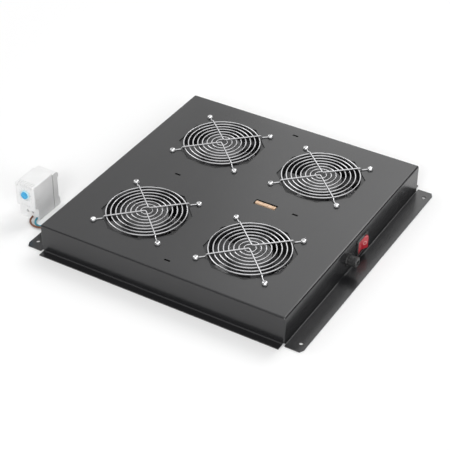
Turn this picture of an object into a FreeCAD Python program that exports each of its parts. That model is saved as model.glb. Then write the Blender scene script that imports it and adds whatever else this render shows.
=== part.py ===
import FreeCAD, Part
import math
import os
import re
import Sketcher

# Rack fan tray: a folded sheet-steel tray, 1U high, that carries four 120 mm mains fans, with
# finger guards, an illuminated rocker switch, a panel fuse holder, a terminal block and a
# separate thermostat on two leads. Millimetres. +Z is up and the front is -Y, where the switch
# is. The origin is the centre of the four flange holes, on the underside of the flanges.

Vector = FreeCAD.Vector
doc = FreeCAD.newDocument("rack_fan_tray")

# ---------------------------------------------------------------- driving dimensions

driving = {
    # tray
    "wall": 1.5,                  # sheet thickness
    "bend": 1.5,                  # inside bend radius
    "box_width": 398,             # over the side walls
    "box_depth": 382,             # over the front and rear walls
    "box_height": 44.4,           # 1U, underside of flange to top face
    "corner_radius": 2.0,         # welded upright corners
    "wide_flange": 26,            # front and rear flange, from the wall
    "wide_flange_ear": 2,         # beyond the side wall at each end
    "narrow_flange": 11,          # side flanges, from the wall
    "relief": 1.0,                # gap between a flange end and the upright corner
    "flange_chamfer_x": 6.5,
    "flange_chamfer_y": 3.5,
    "mount_end": 15,              # mounting hole from the end of its flange
    "mount_offset": 17,           # and from the wall
    "mount_dia": 5.5,
    # fan stations
    "fan_margin_x": 99,           # fan axis from the side wall
    "fan_margin_y": 108.5,        # and from the front or rear wall
    "fan_size": 120,
    "fan_depth": 38,
    "fan_screw_pitch": 105,
    "fan_screw_hole": 4.5,
    "fan_corner": 6,
    "fan_lug": 4.5,               # thickness of the corner lugs
    "fan_duct": 119,              # across the flats of the duct
    "fan_bore": 115,
    "motor_base_dia": 64,
    "motor_base": 3.5,            # thickness of the motor base and its struts
    "strut_width": 6,
    "cutout_across": 118,         # octagonal openings in the top
    # impeller
    "blade_count": 5,
    "hub_dia": 62,
    "hub_height": 31,
    "hub_wall": 2.5,
    "hub_edge": 1.5,
    "hub_top_gap": 2.5,           # hub top below the frame's top face
    "blade_root": 29,             # radius where the blade starts, inside the hub wall
    "blade_tip": 56,
    "blade_reach": 60,            # radius of the untrimmed tip section
    "root_half_chord": 17,        # half the blade's width at its root section
    "tip_half_chord": 28,         # and at its untrimmed tip section
    "blade_slope": 0.4,           # fall of the blade for each millimetre round the hub
    "blade_camber": 0.11,         # bulge of the blade as a share of its half width
    "blade_thickness": 2.2,
    "blade_mid": 18.5,            # height of the blade's middle above the frame's foot
    "shaft_dia": 5,
    "bearing_play": 0.05,         # radial
    "stator_dia": 48,
    "stator_height": 22,
    # finger guards
    "guard_rings": 8,
    "guard_first_radius": 8.1,
    "guard_ring_pitch": 6.88,
    "guard_wire": 1.8,
    "guard_ring_sides": 8,        # straight sides of the smallest ring, one more on each larger one
    "guard_right_vertex": 5,      # where each pair of legs meets, from the centre
    "guard_left_vertex": -2,
    "guard_eye_dia": 8.4,
    "guard_step_radius": 58.5,
    "guard_foot_radius": 62.5,
    # fasteners
    "screw_head_dia": 8,
    "screw_head": 2.4,
    "screw_dia": 4,
    "screw_length": 12,
    "nut_across": 7,
    "nut_height": 3.2,
    "seat_gap": 0.3,
    # tie slots and window
    "tie_slot_length": 9,
    "tie_slot_width": 3,
    "tie_margin_x": 23.5,         # slots beside the fans, from the side wall
    "tie_margin_y": 95.5,         # slots between the fans, from the front or rear wall
    "window_width": 11.5,
    "window_length": 34,
    "window_y": -49,
    # switch
    "panel_mid": 22,              # height of the switch and fuse centres
    "switch_x": 15.5,
    "bezel_width": 30.6,
    "bezel_height": 25.2,
    "bezel": 2.0,
    "switch_body_width": 28,
    "switch_body_height": 21.6,
    "switch_body_depth": 20,
    "panel_play": 0.3,            # panel cut-out over the switch body and the fuse holder
    "rocker_length": 24.4,
    "rocker_top_length": 21.8,
    "rocker_height": 19.6,
    "rocker_play": 0.4,
    "rocker_end": 7,
    "rocker_middle": 5,
    "rocker_keel": 3,
    "rocker_keel_length": 12,
    "rocker_tilt": 11,
    "pivot_depth": 3,             # behind the face of the wall
    "pivot_dia": 3,
    "pivot_length": 1.2,
    "rocker_well": 10,            # depth behind the face of the wall
    "tab_width": 6.3,
    "tab_thickness": 0.8,
    "tab_length": 9,
    "tab_pitch_x": 14,
    "tab_pitch_z": 11,
    # fuse holder
    "fuse_x": -24.5,
    "holder_rim_dia": 18.6,
    "holder_rim": 2.0,
    "holder_dia": 12,
    "holder_length": 30,          # behind the face of the wall
    "holder_bore": 10.4,
    "holder_bore_depth": 27,
    "holder_nut_across": 16,
    "holder_nut": 4,
    "cap_dia": 14.8,
    "cap_length": 12.2,
    "cap_spigot_dia": 10.2,
    "cap_spigot_length": 8,
    "cap_socket_dia": 7.4,
    "carrier_dia": 7.0,
    "carrier_length": 7,
    "link_dia": 5.2,
    "link_length": 20,
    "holder_tab_pitch": 7,
    # terminal block
    "block_width": 17,
    "block_length": 42,
    "block_height": 13,
    "block_poles": 5,
    "block_pole_pitch": 8,
    "block_rib_play": 0.4,
    "block_screw_dia": 3.4,
    "block_screw_x": 4.3,
    "block_entry": 4.2,
    # grommets
    "grommet_hole": 10,
    "grommet_groove_play": 0.1,
    "grommet_rim_dia": 14,
    "grommet_rim": 1.6,
    "grommet_bore": 6.6,
    "grommet_margin": 49,         # from the side wall
    "grommet_z": 16,
    # thermostat
    "thermostat_margin": 46.5,    # front face from the tray's side wall
    "thermostat_gap": 19,         # right-hand face from the rear flange's edge
    "thermostat_width": 33,
    "thermostat_depth": 43,
    "thermostat_height": 60,
    "thermostat_edge": 1.2,
    "terminal_recess": 7,
    "terminal_recess_height": 23,
    "terminal_recess_round": 5.5,
    "terminal_hole_dia": 4,
    "terminal_hole_depth": 9,
    "terminal_hole_z": 10.5,
    "terminal_pitch": 9.2,
    "terminal_offset": 1,         # towards -Y from the middle of the face
    "entry_z": 3.4,               # wire entries
    "entry_depth": 8,
    "entry_pitch": 7.8,
    "entry_offset": 8.2,
    "dial_dia": 13.6,
    "dial_height": 4.5,
    "dial_z": 43,
    "dial_well_dia": 18,
    "dial_well": 1.5,
    "dial_stem_dia": 6,
    "dial_stem": 6,
    "dial_slot": 1.6,
    "vent_count": 7,
    "vent_width": 1.5,
    "vent_pitch": 3.9,
    "vent_length": 9,
    "vent_drop": 5,
    "side_vent_count": 5,
    "side_vent_pitch": 3.4,
    "side_vent_length": 10,
    "side_vent_z": 30,
    "vent_depth": 1.5,
    "clip_width": 32,
    "clip_depth": 14,             # behind the housing
    "clip_gap": 1.6,
    "clip_height": 57,
    "clip_shoulder": 53,
    "clip_slope": 5,
    "clip_round": 4,
    "clip_lip": 5,
    "clip_rib": 3.5,
    "clip_low_rib_z": 6,
    "clip_high_rib_z": 49,
    "rail_slot": 35.4,
    # leads
    "lead_dia": 2.8,
    "cord_dia": 4.0,
}

dims = doc.addObject("Spreadsheet::Sheet", "dims")
for row, (alias, number) in enumerate(driving.items(), start=1):
    dims.set("A%d" % row, alias)
    dims.set("B%d" % row, str(number))
    dims.setAlias("B%d" % row, alias)
doc.recompute()


def size(alias):
    return float(dims.get(alias))


def bound(text):
    """An expression with each alias written as a cell of the sheet."""
    return re.sub(r"[a-z][a-z_]+",
                  lambda m: "dims." + m.group(0) if m.group(0) in driving else m.group(0), text)


# ---------------------------------------------------------------- sketch and feature helpers

def new_body(label):
    body = doc.addObject("PartDesign::Body", label)
    body.Label = label
    return body


def plane_of(body, role):
    return next(f for f in body.Origin.OriginFeatures if f.Role == role)


def new_sketch(body, role, offset="0"):
    sketch = body.newObject("Sketcher::SketchObject", body.Name + "_sketch")
    sketch.AttachmentSupport = [(plane_of(body, role), "")]
    sketch.MapMode = "FlatFace"
    sketch.setExpression("AttachmentOffset.Base.z", bound(offset))
    return sketch


def pin_point(sketch, geometry, vertex, x, y):
    """Ties one vertex of the sketch to a place given by two expressions."""
    for kind, text in (("DistanceX", x), ("DistanceY", y)):
        index = sketch.addConstraint(Sketcher.Constraint(kind, -1, 1, geometry, vertex, 1.0))
        sketch.setExpression("Constraints[%d]" % index, bound(text))


def outline(sketch, points):
    """A closed outline of straight sides through points given as pairs of expressions."""
    count = len(points)
    first = sketch.GeometryCount
    turns = [2 * math.pi * i / count for i in range(count)]
    spots = [Vector(math.cos(turn), math.sin(turn), 0) for turn in turns]
    for i in range(count):
        sketch.addGeometry(Part.LineSegment(spots[i], spots[(i + 1) % count]), False)
    for i in range(count):
        sketch.addConstraint(Sketcher.Constraint("Coincident", first + i, 2, first + (i + 1) % count, 1))
    for i, (x, y) in enumerate(points):
        pin_point(sketch, first + i, 1, x, y)


def rectangle(sketch, width, height, x="0", y="0"):
    left, right = "%s - (%s) / 2" % (x, width), "%s + (%s) / 2" % (x, width)
    low, high = "%s - (%s) / 2" % (y, height), "%s + (%s) / 2" % (y, height)
    outline(sketch, [(left, low), (right, low), (right, high), (left, high)])


def sided(sketch, sides, across, x="0", y="0"):
    """A regular outline with flats on the axes, given the distance across them."""
    scale = 0.5 / math.cos(math.pi / sides)
    turns = [math.pi * (2 * i + 1) / sides for i in range(sides)]
    outline(sketch, [("%s + %.6f * (%s)" % (x, scale * math.cos(turn), across),
                      "%s + %.6f * (%s)" % (y, scale * math.sin(turn), across)) for turn in turns])


def cut_square(sketch, side, corner):
    """A square with its corners cut off at 45 degrees."""
    far, short = "(%s) / 2" % side, "((%s) / 2 - %s)" % (side, corner)
    outline(sketch, [(far, short), (short, far), ("-" + short, far), ("-" + far, short),
                     ("-" + far, "-" + short), ("-" + short, "-" + far),
                     (short, "-" + far), (far, "-" + short)])


def circle(sketch, diameter, x="0", y="0"):
    geometry = sketch.addGeometry(Part.Circle(Vector(0, 0, 0), Vector(0, 0, 1), 1), False)
    pin_point(sketch, geometry, 3, x, y)
    index = sketch.addConstraint(Sketcher.Constraint("Diameter", geometry, 2.0))
    sketch.setExpression("Constraints[%d]" % index, bound(diameter))


def extruded(body, kind, sketch, length, reverse=False):
    feature = body.newObject("PartDesign::" + kind, body.Name + "_" + kind.lower())
    feature.Profile = sketch
    feature.setExpression("Length", bound(length))
    feature.Reversed = reverse
    sketch.Visibility = False
    body.Tip = feature
    return feature


def pad(body, sketch, length, reverse=False):
    return extruded(body, "Pad", sketch, length, reverse)


def pocket(body, sketch, length, reverse=False):
    """Cuts against the sketch's normal, or along it when reversed, and proves that it cut."""
    doc.recompute()
    before = body.Shape.Volume
    feature = extruded(body, "Pocket", sketch, length, reverse)
    doc.recompute()
    if not body.Shape.Volume < before:
        raise RuntimeError(feature.Name + " cuts nothing")
    return feature


def dress(body, kind, chooser, value, alias="Radius"):
    """A fillet or chamfer on the edges of the tip that the chooser accepts."""
    doc.recompute()
    base = body.Tip
    names = ["Edge%d" % (i + 1) for i, edge in enumerate(base.Shape.Edges) if chooser(edge)]
    feature = body.newObject("PartDesign::" + kind, body.Name + "_" + kind.lower())
    feature.Base = (base, names)
    feature.setExpression(alias, bound(value))
    body.Tip = feature
    doc.recompute()
    return feature


def revolved(body, sketch, kind="Revolution", role="Z_Axis"):
    feature = body.newObject("PartDesign::" + kind, body.Name + "_turn")
    feature.Profile = sketch
    feature.ReferenceAxis = (plane_of(body, role), [""])
    feature.Angle = 360
    body.Tip = feature
    return feature


def place(item, x="0", y="0", z="0", axis=None, angle="0"):
    if axis:
        item.Placement.Rotation = FreeCAD.Rotation(Vector(*axis), 1)
        item.setExpression("Placement.Rotation.Angle", bound(angle))
    item.setExpression("Placement.Base.x", bound(x))
    item.setExpression("Placement.Base.y", bound(y))
    item.setExpression("Placement.Base.z", bound(z))


def near(value, target, slack=0.01):
    return abs(value - target) < slack


def spans(edge, axis, low, high):
    box = edge.BoundBox
    return near(getattr(box, axis + "Min"), low) and near(getattr(box, axis + "Max"), high)


def at_stations(label, pattern, z, angles=None):
    """The same sub-part at the four fan stations, one node each."""
    for name, sx, sy in STATIONS:
        item = doc.addObject("Part::Compound", "%s_%s" % (label, name))
        item.Links = [pattern]
        place(item, "%d * %s" % (sx, FAN_X), "%d * %s" % (sy, FAN_Y), z,
              (0, 0, 1) if angles else None, angles[name] if angles else "0")
        parts.append(item)


def coded(label, shape):
    """A sub-part whose shape is worked out from the sheet in code."""
    item = doc.addObject("Part::Feature", label)
    item.Label = label
    item.Shape = shape
    return item


def polygon(radius, sides, z):
    turns = [2 * math.pi * i / sides for i in range(sides)]
    points = [Vector(radius * math.cos(turn), radius * math.sin(turn), z) for turn in turns]
    return Part.makePolygon(points + [points[0]])


def ring_prism(radius, sides, height, z):
    return Part.Face(polygon(radius, sides, z)).extrude(Vector(0, 0, height))


FAN_X = "(box_width / 2 - fan_margin_x)"
FAN_Y = "(box_depth / 2 - fan_margin_y)"
HEAD_SIDES = 10
SHANK_SIDES = 6
STATIONS = [("front_left", -1, -1), ("front_right", 1, -1), ("rear_left", -1, 1), ("rear_right", 1, 1)]
SIGNS = [(-1, -1), (1, -1), (-1, 1), (1, 1)]
parts = []

# ---------------------------------------------------------------- tray

def tray_shell():
    body = new_body("tray_shell")
    sketch = new_sketch(body, "XY_Plane")
    rectangle(sketch, "box_width", "box_depth")
    pad(body, sketch, "box_height")
    height, wall = size("box_height"), size("wall")
    dress(body, "Fillet", lambda e: spans(e, "Z", 0, height), "corner_radius")
    dress(body, "Fillet", lambda e: spans(e, "Z", height, height), "bend + wall")

    sketch = new_sketch(body, "XY_Plane")
    rectangle(sketch, "box_width - 2 * wall", "box_depth - 2 * wall")
    pocket(body, sketch, "box_height - wall", reverse=True)
    inner_x, inner_y = size("box_width") / 2 - wall, size("box_depth") / 2 - wall
    dress(body, "Fillet", lambda e: spans(e, "Z", height - wall, height - wall)
          and abs(e.CenterOfMass.x) <= inner_x + 0.01 and abs(e.CenterOfMass.y) <= inner_y + 0.01, "bend")

    # corner reliefs, which let the flanges fold
    sketch = new_sketch(body, "XY_Plane")
    for sx, sy in SIGNS:
        rectangle(sketch, "2 * (corner_radius + relief)", "2 * (corner_radius + relief)",
                  "%d * box_width / 2" % sx, "%d * box_depth / 2" % sy)
    pocket(body, sketch, "bend + wall", reverse=True)

    # flanges, each joined to its own wall and stopped short of the upright corners
    seam_x = "(box_width / 2 - corner_radius - relief)"
    seam_y = "(box_depth / 2 - corner_radius - relief)"
    wide_inner, wide_outer = "(box_depth / 2 - wall)", "(box_depth / 2 + wide_flange)"
    for side in ("-1", "1"):
        sketch = new_sketch(body, "XY_Plane")
        half = "(box_width / 2 + wide_flange_ear)"
        ear = "(box_depth / 2 + relief)"
        points = [("-" + seam_x, wide_inner), (seam_x, wide_inner), (seam_x, ear), (half, ear),
                  (half, wide_outer + " - flange_chamfer_y"), (half + " - flange_chamfer_x", wide_outer),
                  ("-" + half + " + flange_chamfer_x", wide_outer),
                  ("-" + half, wide_outer + " - flange_chamfer_y"), ("-" + half, ear), ("-" + seam_x, ear)]
        outline(sketch, [(x, "%s * (%s)" % (side, y)) for x, y in points])
        pad(body, sketch, "wall")
        sketch = new_sketch(body, "XY_Plane")
        rectangle(sketch, "narrow_flange + wall", "2 * " + seam_y,
                  side + " * (box_width + narrow_flange - wall) / 2")
        pad(body, sketch, "wall")

    # bends between the walls and the flanges, outside and inside
    half_x, half_y = size("box_width") / 2, size("box_depth") / 2

    def on_bend(edge, level, x, y):
        centre = edge.CenterOfMass
        if not spans(edge, "Z", level, level):
            return False
        on_side = near(abs(centre.x), x) and near(centre.y, 0)
        on_end = near(abs(centre.y), y) and near(centre.x, 0)
        return on_side or on_end

    dress(body, "Fillet", lambda e: on_bend(e, wall, half_x, half_y), "bend")
    dress(body, "Fillet", lambda e: on_bend(e, 0, inner_x, inner_y), "bend + wall")

    # fan openings, guard screw holes, tie slots and window in the top
    sketch = new_sketch(body, "XY_Plane", "box_height")
    for name, sx, sy in STATIONS:
        x, y = "%d * %s" % (sx, FAN_X), "%d * %s" % (sy, FAN_Y)
        sided(sketch, 8, "cutout_across", x, y)
        for hx, hy in SIGNS:
            sided(sketch, SHANK_SIDES, "fan_screw_hole", "%s + %d * fan_screw_pitch / 2" % (x, hx),
                  "%s + %d * fan_screw_pitch / 2" % (y, hy))
    for sign in ("-1", "1"):
        rectangle(sketch, "tie_slot_width", "tie_slot_length",
                  "0", sign + " * (box_depth / 2 - tie_margin_y)")
        rectangle(sketch, "tie_slot_width", "tie_slot_length",
                  sign + " * (box_width / 2 - tie_margin_x)", "0")
    rectangle(sketch, "window_width", "window_length", "0", "window_y")
    pocket(body, sketch, "2 * wall")

    # switch and fuse cut-outs in the front wall
    sketch = new_sketch(body, "XZ_Plane", "box_depth / 2")
    rectangle(sketch, "switch_body_width + 2 * panel_play", "switch_body_height + 2 * panel_play",
              "switch_x", "panel_mid")
    circle(sketch, "holder_dia + 2 * panel_play", "fuse_x", "panel_mid")
    pocket(body, sketch, "2 * wall")

    # grommet holes in the rear wall
    sketch = new_sketch(body, "XZ_Plane", "-box_depth / 2")
    for side in ("-1", "1"):
        circle(sketch, "grommet_hole", side + " * (box_width / 2 - grommet_margin)", "grommet_z")
    pocket(body, sketch, "2 * wall", reverse=True)

    # mounting holes in the wide flanges
    sketch = new_sketch(body, "XY_Plane")
    for sx, sy in SIGNS:
        circle(sketch, "mount_dia", "%d * (box_width / 2 + wide_flange_ear - mount_end)" % sx,
               "%d * (box_depth / 2 + mount_offset)" % sy)
    pocket(body, sketch, "2 * wall", reverse=True)
    return body


def tray_fields(sheet):
    """The sheet divided at its bend lines: the flat top, and each wall with its bends and flange."""
    flat_x, flat_y = "(box_width - 2 * wall - 2 * bend)", "(box_depth - 2 * wall - 2 * bend)"
    reach_x, reach_y = "(box_width / 2 + wide_flange)", "(box_depth / 2 + 2 * wide_flange)"
    rest_x, rest_y = "%s - %s / 2" % (reach_x, flat_x), "%s - %s / 2" % (reach_y, flat_y)
    fields = [("tray_top", flat_x, flat_y, "-%s / 2" % flat_x, "-%s / 2" % flat_y),
              ("tray_front", "2 * " + reach_x, rest_y, "-" + reach_x, "-" + reach_y),
              ("tray_rear", "2 * " + reach_x, rest_y, "-" + reach_x, flat_y + " / 2"),
              ("tray_left", rest_x, flat_y, "-" + reach_x, "-%s / 2" % flat_y),
              ("tray_right", rest_x, flat_y, flat_x + " / 2", "-%s / 2" % flat_y)]
    for label, length, width, x, y in fields:
        field = doc.addObject("Part::Box", label + "_field")
        field.setExpression("Length", bound(length))
        field.setExpression("Width", bound(width))
        field.setExpression("Height", bound("box_height"))
        place(field, x, y, "0")
        item = doc.addObject("Part::Common", label)
        item.Label = label
        item.Base = sheet
        item.Tool = field
        parts.append(item)


tray_fields(tray_shell())

# ---------------------------------------------------------------- fans

FAN_FOOT = "(box_height - wall - fan_depth)"
FAN_SIDES = 24
STATOR_SIDES = 12
fan_x = size("box_width") / 2 - size("fan_margin_x")
fan_y = size("box_depth") / 2 - size("fan_margin_y")


def fan_frame():
    """Cast duct of the fan, eight-sided outside, between two sets of corner lugs."""
    body = new_body("fan_frame")
    sketch = new_sketch(body, "XY_Plane")
    sided(sketch, 8, "fan_duct")
    pad(body, sketch, "fan_depth")
    for level in ("0", "fan_depth - fan_lug"):
        sketch = new_sketch(body, "XY_Plane", level)
        cut_square(sketch, "fan_size", "fan_corner")
        pad(body, sketch, "fan_lug")
    sketch = new_sketch(body, "XY_Plane", "fan_depth")
    sided(sketch, FAN_SIDES, "fan_bore")
    for hx, hy in SIGNS:
        sided(sketch, SHANK_SIDES, "fan_screw_hole",
              "%d * fan_screw_pitch / 2" % hx, "%d * fan_screw_pitch / 2" % hy)
    pocket(body, sketch, "fan_depth + 1")
    return body


def motor_base():
    """Motor base on four struts, which end on the flats of the bore."""
    body = new_body("motor_base")
    for width, height in (("fan_bore", "strut_width"), ("strut_width", "fan_bore")):
        sketch = new_sketch(body, "XY_Plane")
        rectangle(sketch, width, height)
        pad(body, sketch, "motor_base")
    sketch = new_sketch(body, "XY_Plane")
    sided(sketch, STATOR_SIDES, "motor_base_dia")
    pad(body, sketch, "motor_base")
    return body


def rotor_cup():
    """Cup of the external rotor, with the moulded-in shaft."""
    body = new_body("rotor_cup")
    sketch = new_sketch(body, "XY_Plane", "fan_depth - hub_top_gap")
    sided(sketch, FAN_SIDES, "hub_dia")
    pad(body, sketch, "hub_height", reverse=True)
    top = size("fan_depth") - size("hub_top_gap")
    dress(body, "Chamfer", lambda e: spans(e, "Z", top, top), "hub_edge", "Size")
    sketch = new_sketch(body, "XY_Plane")
    sided(sketch, FAN_SIDES, "hub_dia - 2 * hub_wall")
    pocket(body, sketch, "fan_depth - hub_top_gap - hub_wall", reverse=True)
    sketch = new_sketch(body, "XY_Plane", "motor_base + seat_gap")
    circle(sketch, "shaft_dia")
    pad(body, sketch, "fan_depth - hub_top_gap - hub_wall / 2 - (motor_base + seat_gap)")
    return body


def blades():
    """Cambered blades of flat panels, wider at the tip, with the leading edge up."""
    half_thick = Vector(0, 0, size("blade_thickness") / 2)
    ends = []
    for x, half in ((size("blade_root"), size("root_half_chord")),
                    (size("blade_reach"), size("tip_half_chord"))):
        middle = [Vector(x, along * half, size("blade_mid")
                         + (bulge * size("blade_camber") - along * size("blade_slope")) * half)
                  for along, bulge in ((-1, 0), (-1 / 3, 1), (1 / 3, 1), (1, 0))]
        upper = [point + half_thick for point in middle]
        lower = [point - half_thick for point in reversed(middle)]
        ends.append(upper + lower)
    root, tip = ends
    corners = [root, tip]
    for i in range(len(root)):
        j = (i + 1) % len(root)
        corners.append([root[i], root[j], tip[j], tip[i]])
    faces = [Part.Face(Part.makePolygon(points + [points[0]])) for points in corners]
    blade = Part.makeSolid(Part.makeShell(faces))
    if blade.Volume < 0:
        blade.reverse()
    blade = blade.common(ring_prism(size("blade_tip"), 2 * FAN_SIDES, size("fan_depth"), 0))
    count = int(size("blade_count"))
    return Part.makeCompound([blade.rotated(Vector(0, 0, 0), Vector(0, 0, 1), 360 * i / count)
                              for i in range(count)])


def stators():
    """Wound stators on the motor bases, one in each impeller cup, with the bearing bore."""
    foot = size("box_height") - size("wall") - size("fan_depth") + size("motor_base")
    wound = ring_prism(size("stator_dia") / 2, STATOR_SIDES, size("stator_height"), foot)
    bore = size("shaft_dia") / 2 + size("bearing_play")
    wound = wound.cut(Part.makeCylinder(bore, size("stator_height") + 2, Vector(0, 0, foot - 1)))
    return [wound.translated(Vector(sx * fan_x, sy * fan_y, 0))
            for name, sx, sy in STATIONS]


REST_ANGLES = {"front_left": "23", "front_right": "41", "rear_left": "8", "rear_right": "57"}
at_stations("fan_frame", fan_frame(), FAN_FOOT)
at_stations("motor_base", motor_base(), FAN_FOOT)
rotor = doc.addObject("Part::MultiFuse", "rotor")
rotor.Shapes = [rotor_cup(), coded("rotor_blades", blades())]
rotor.Refine = True
at_stations("impeller", rotor, FAN_FOOT, REST_ANGLES)
parts.append(coded("fan_stators", Part.makeCompound(stators())))

# ---------------------------------------------------------------- finger guards

EYE_SIDES = 8


def guard_ring(radius, sides, z):
    """One ring of square wire, drawn with straight sides."""
    half = size("guard_wire") / 2
    return ring_prism(radius + half, sides, 2 * half, z).cut(ring_prism(radius - half, sides, 2 * half, z))


def guard_leg(vertex, corner_x, corner_y):
    """Half of a V-shaped support wire: over the rings, then one step down to the sheet."""
    wire = size("guard_wire")
    run = Vector(corner_x - vertex, corner_y, 0)
    eye = run.Length - size("guard_eye_dia") / 2
    diagonal = Vector(corner_x, corner_y, 0).Length
    step_in = run.Length - (diagonal - size("guard_step_radius"))
    step_out = run.Length - (diagonal - size("guard_foot_radius"))
    profile = [(0, 2 * wire), (step_in, 2 * wire), (step_out, 0), (eye + wire, 0), (eye + wire, wire),
               (step_out + wire / 2, wire), (step_in + wire / 2, 3 * wire), (0, 3 * wire)]
    points = [Vector(along, -wire / 2, up) for along, up in profile]
    leg = Part.Face(Part.makePolygon(points + [points[0]])).extrude(Vector(0, wire, 0))
    leg.rotate(Vector(0, 0, 0), Vector(0, 0, 1), math.degrees(math.atan2(run.y, run.x)))
    leg.translate(Vector(vertex, 0, 0))
    return leg


def guard_support(vertex, side):
    """A V-shaped support with an eye at each end, which a fan screw clamps."""
    half = size("fan_screw_pitch") / 2
    wire = size("guard_wire")
    support = guard_leg(vertex, side * half, half).fuse(guard_leg(vertex, side * half, -half))
    for sign in (-1, 1):
        eye = ring_prism(size("guard_eye_dia") / 2, EYE_SIDES, wire, 0)
        eye.translate(Vector(side * half, sign * half, 0))
        support = support.fuse(eye)
    hole = size("guard_eye_dia") / 2 - wire
    for sign in (-1, 1):
        drill = ring_prism(hole, EYE_SIDES, 2 * wire, 0)
        support = support.cut(drill.translated(Vector(side * half, sign * half, 0)))
    return support.removeSplitter()


def finger_guard():
    wire = size("guard_wire")
    solids = []
    for i in range(int(size("guard_rings"))):
        radius = size("guard_first_radius") + i * size("guard_ring_pitch")
        solids.append(guard_ring(radius, int(size("guard_ring_sides")) + i, wire))
    solids.append(guard_support(size("guard_right_vertex"), 1))
    solids.append(guard_support(size("guard_left_vertex"), -1))
    return Part.makeCompound(solids)


at_stations("finger_guard", coded("finger_guard", finger_guard()), "box_height")


def fan_screw():
    """Pan-head screw through eye, sheet and lug; its head rests on the eye."""
    radius, head, length = size("screw_head_dia") / 2, size("screw_head"), size("screw_length")
    rim = ring_prism(radius, HEAD_SIDES, head / 2, 0)
    crown = Part.makeLoft([polygon(radius, HEAD_SIDES, head / 2),
                           polygon(0.6 * radius, HEAD_SIDES, head)], True, True)
    shank = ring_prism(size("screw_dia") / 2, SHANK_SIDES, length, -length)
    return rim.fuse(crown).fuse(shank).removeSplitter()


def hex_nut():
    nut = ring_prism(size("nut_across") / 2 / math.cos(math.pi / 6), 6, size("nut_height"), 0)
    bore = size("screw_dia") / 2 + size("bearing_play")
    return nut.cut(ring_prism(bore, SHANK_SIDES, size("nut_height"), 0))


def at_fan_screws(shape, z):
    half = size("fan_screw_pitch") / 2
    copies = []
    for name, sx, sy in STATIONS:
        for hx, hy in SIGNS:
            spot = Vector(sx * fan_x + hx * half, sy * fan_y + hy * half, z)
            copies.append(shape.translated(spot))
    return Part.makeCompound(copies)


parts.append(coded("fan_screws", at_fan_screws(fan_screw(), size("box_height") + size("guard_wire"))))
nut_level = size("box_height") - size("wall") - size("fan_lug") - size("nut_height")
parts.append(coded("fan_nuts", at_fan_screws(hex_nut(), nut_level)))

# ---------------------------------------------------------------- rocker switch

def switch_housing():
    """Black housing with its bezel; it snaps into the front wall. Local -Y is outwards."""
    body = new_body("switch_housing")
    sketch = new_sketch(body, "XZ_Plane")
    rectangle(sketch, "switch_body_width", "switch_body_height")
    pad(body, sketch, "switch_body_depth", reverse=True)
    sketch = new_sketch(body, "XZ_Plane")
    rectangle(sketch, "bezel_width", "bezel_height")
    pad(body, sketch, "bezel")
    proud = size("bezel")
    dress(body, "Chamfer", lambda e: spans(e, "Y", -proud, -proud), "bezel / 3", "Size")
    sketch = new_sketch(body, "XZ_Plane", "bezel")
    rectangle(sketch, "rocker_length + 2 * rocker_play", "rocker_height + 2 * rocker_play")
    pocket(body, sketch, "bezel + rocker_well")
    # trunnion bearings, one above and one below the rocker
    sketch = new_sketch(body, "XY_Plane", "-(rocker_height / 2 + pivot_length + 0.1)")
    circle(sketch, "pivot_dia + 2 * bearing_play", "0", "pivot_depth")
    pocket(body, sketch, "rocker_height + 2 * pivot_length + 0.2", reverse=True)
    place(body, "switch_x", "-box_depth / 2", "panel_mid")
    return body


def switch_rocker():
    """Translucent rocker, hollowed in a shallow V, on an upright trunnion; left end pressed."""
    body = new_body("switch_rocker")
    sketch = new_sketch(body, "XY_Plane", "-rocker_height / 2")
    end, top, keel = "rocker_length / 2", "rocker_top_length / 2", "rocker_keel_length / 2"
    outline(sketch, [("-" + top, "-rocker_end"), ("0", "-rocker_middle"), (top, "-rocker_end"), (end, "-2"),
                     (keel, "rocker_keel"), ("-" + keel, "rocker_keel"), ("-" + end, "-2")])
    pad(body, sketch, "rocker_height")
    sketch = new_sketch(body, "XY_Plane", "-(rocker_height / 2 + pivot_length)")
    circle(sketch, "pivot_dia")
    pad(body, sketch, "rocker_height + 2 * pivot_length")
    place(body, "switch_x", "-box_depth / 2 + pivot_depth", "panel_mid", (0, 0, 1), "-rocker_tilt")
    return body


def blade_tabs(label, spots, y):
    """Quick-connect tabs, as separate solids, standing out along +Y."""
    width, thick, length = size("tab_width"), size("tab_thickness"), size("tab_length")
    return coded(label, Part.makeCompound(
        [Part.makeBox(thick, length, width, Vector(x - thick / 2, y, z - width / 2)) for x, z in spots]))


parts.append(switch_housing())
parts.append(switch_rocker())
switch_back = -size("box_depth") / 2 + size("switch_body_depth")
parts.append(blade_tabs("switch_tabs", [
    (size("switch_x") + sx * size("tab_pitch_x") / 2, size("panel_mid") + sz * size("tab_pitch_z") / 2)
    for sx, sz in SIGNS], switch_back))

# ---------------------------------------------------------------- fuse holder

def turned(label, points, x, y, z):
    """A piece turned about Y from half an outline given as (radius, y) pairs."""
    body = new_body(label)
    sketch = new_sketch(body, "XY_Plane")
    outline(sketch, points)
    revolved(body, sketch, role="Y_Axis")
    place(body, x, y, z)
    return body


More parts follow.
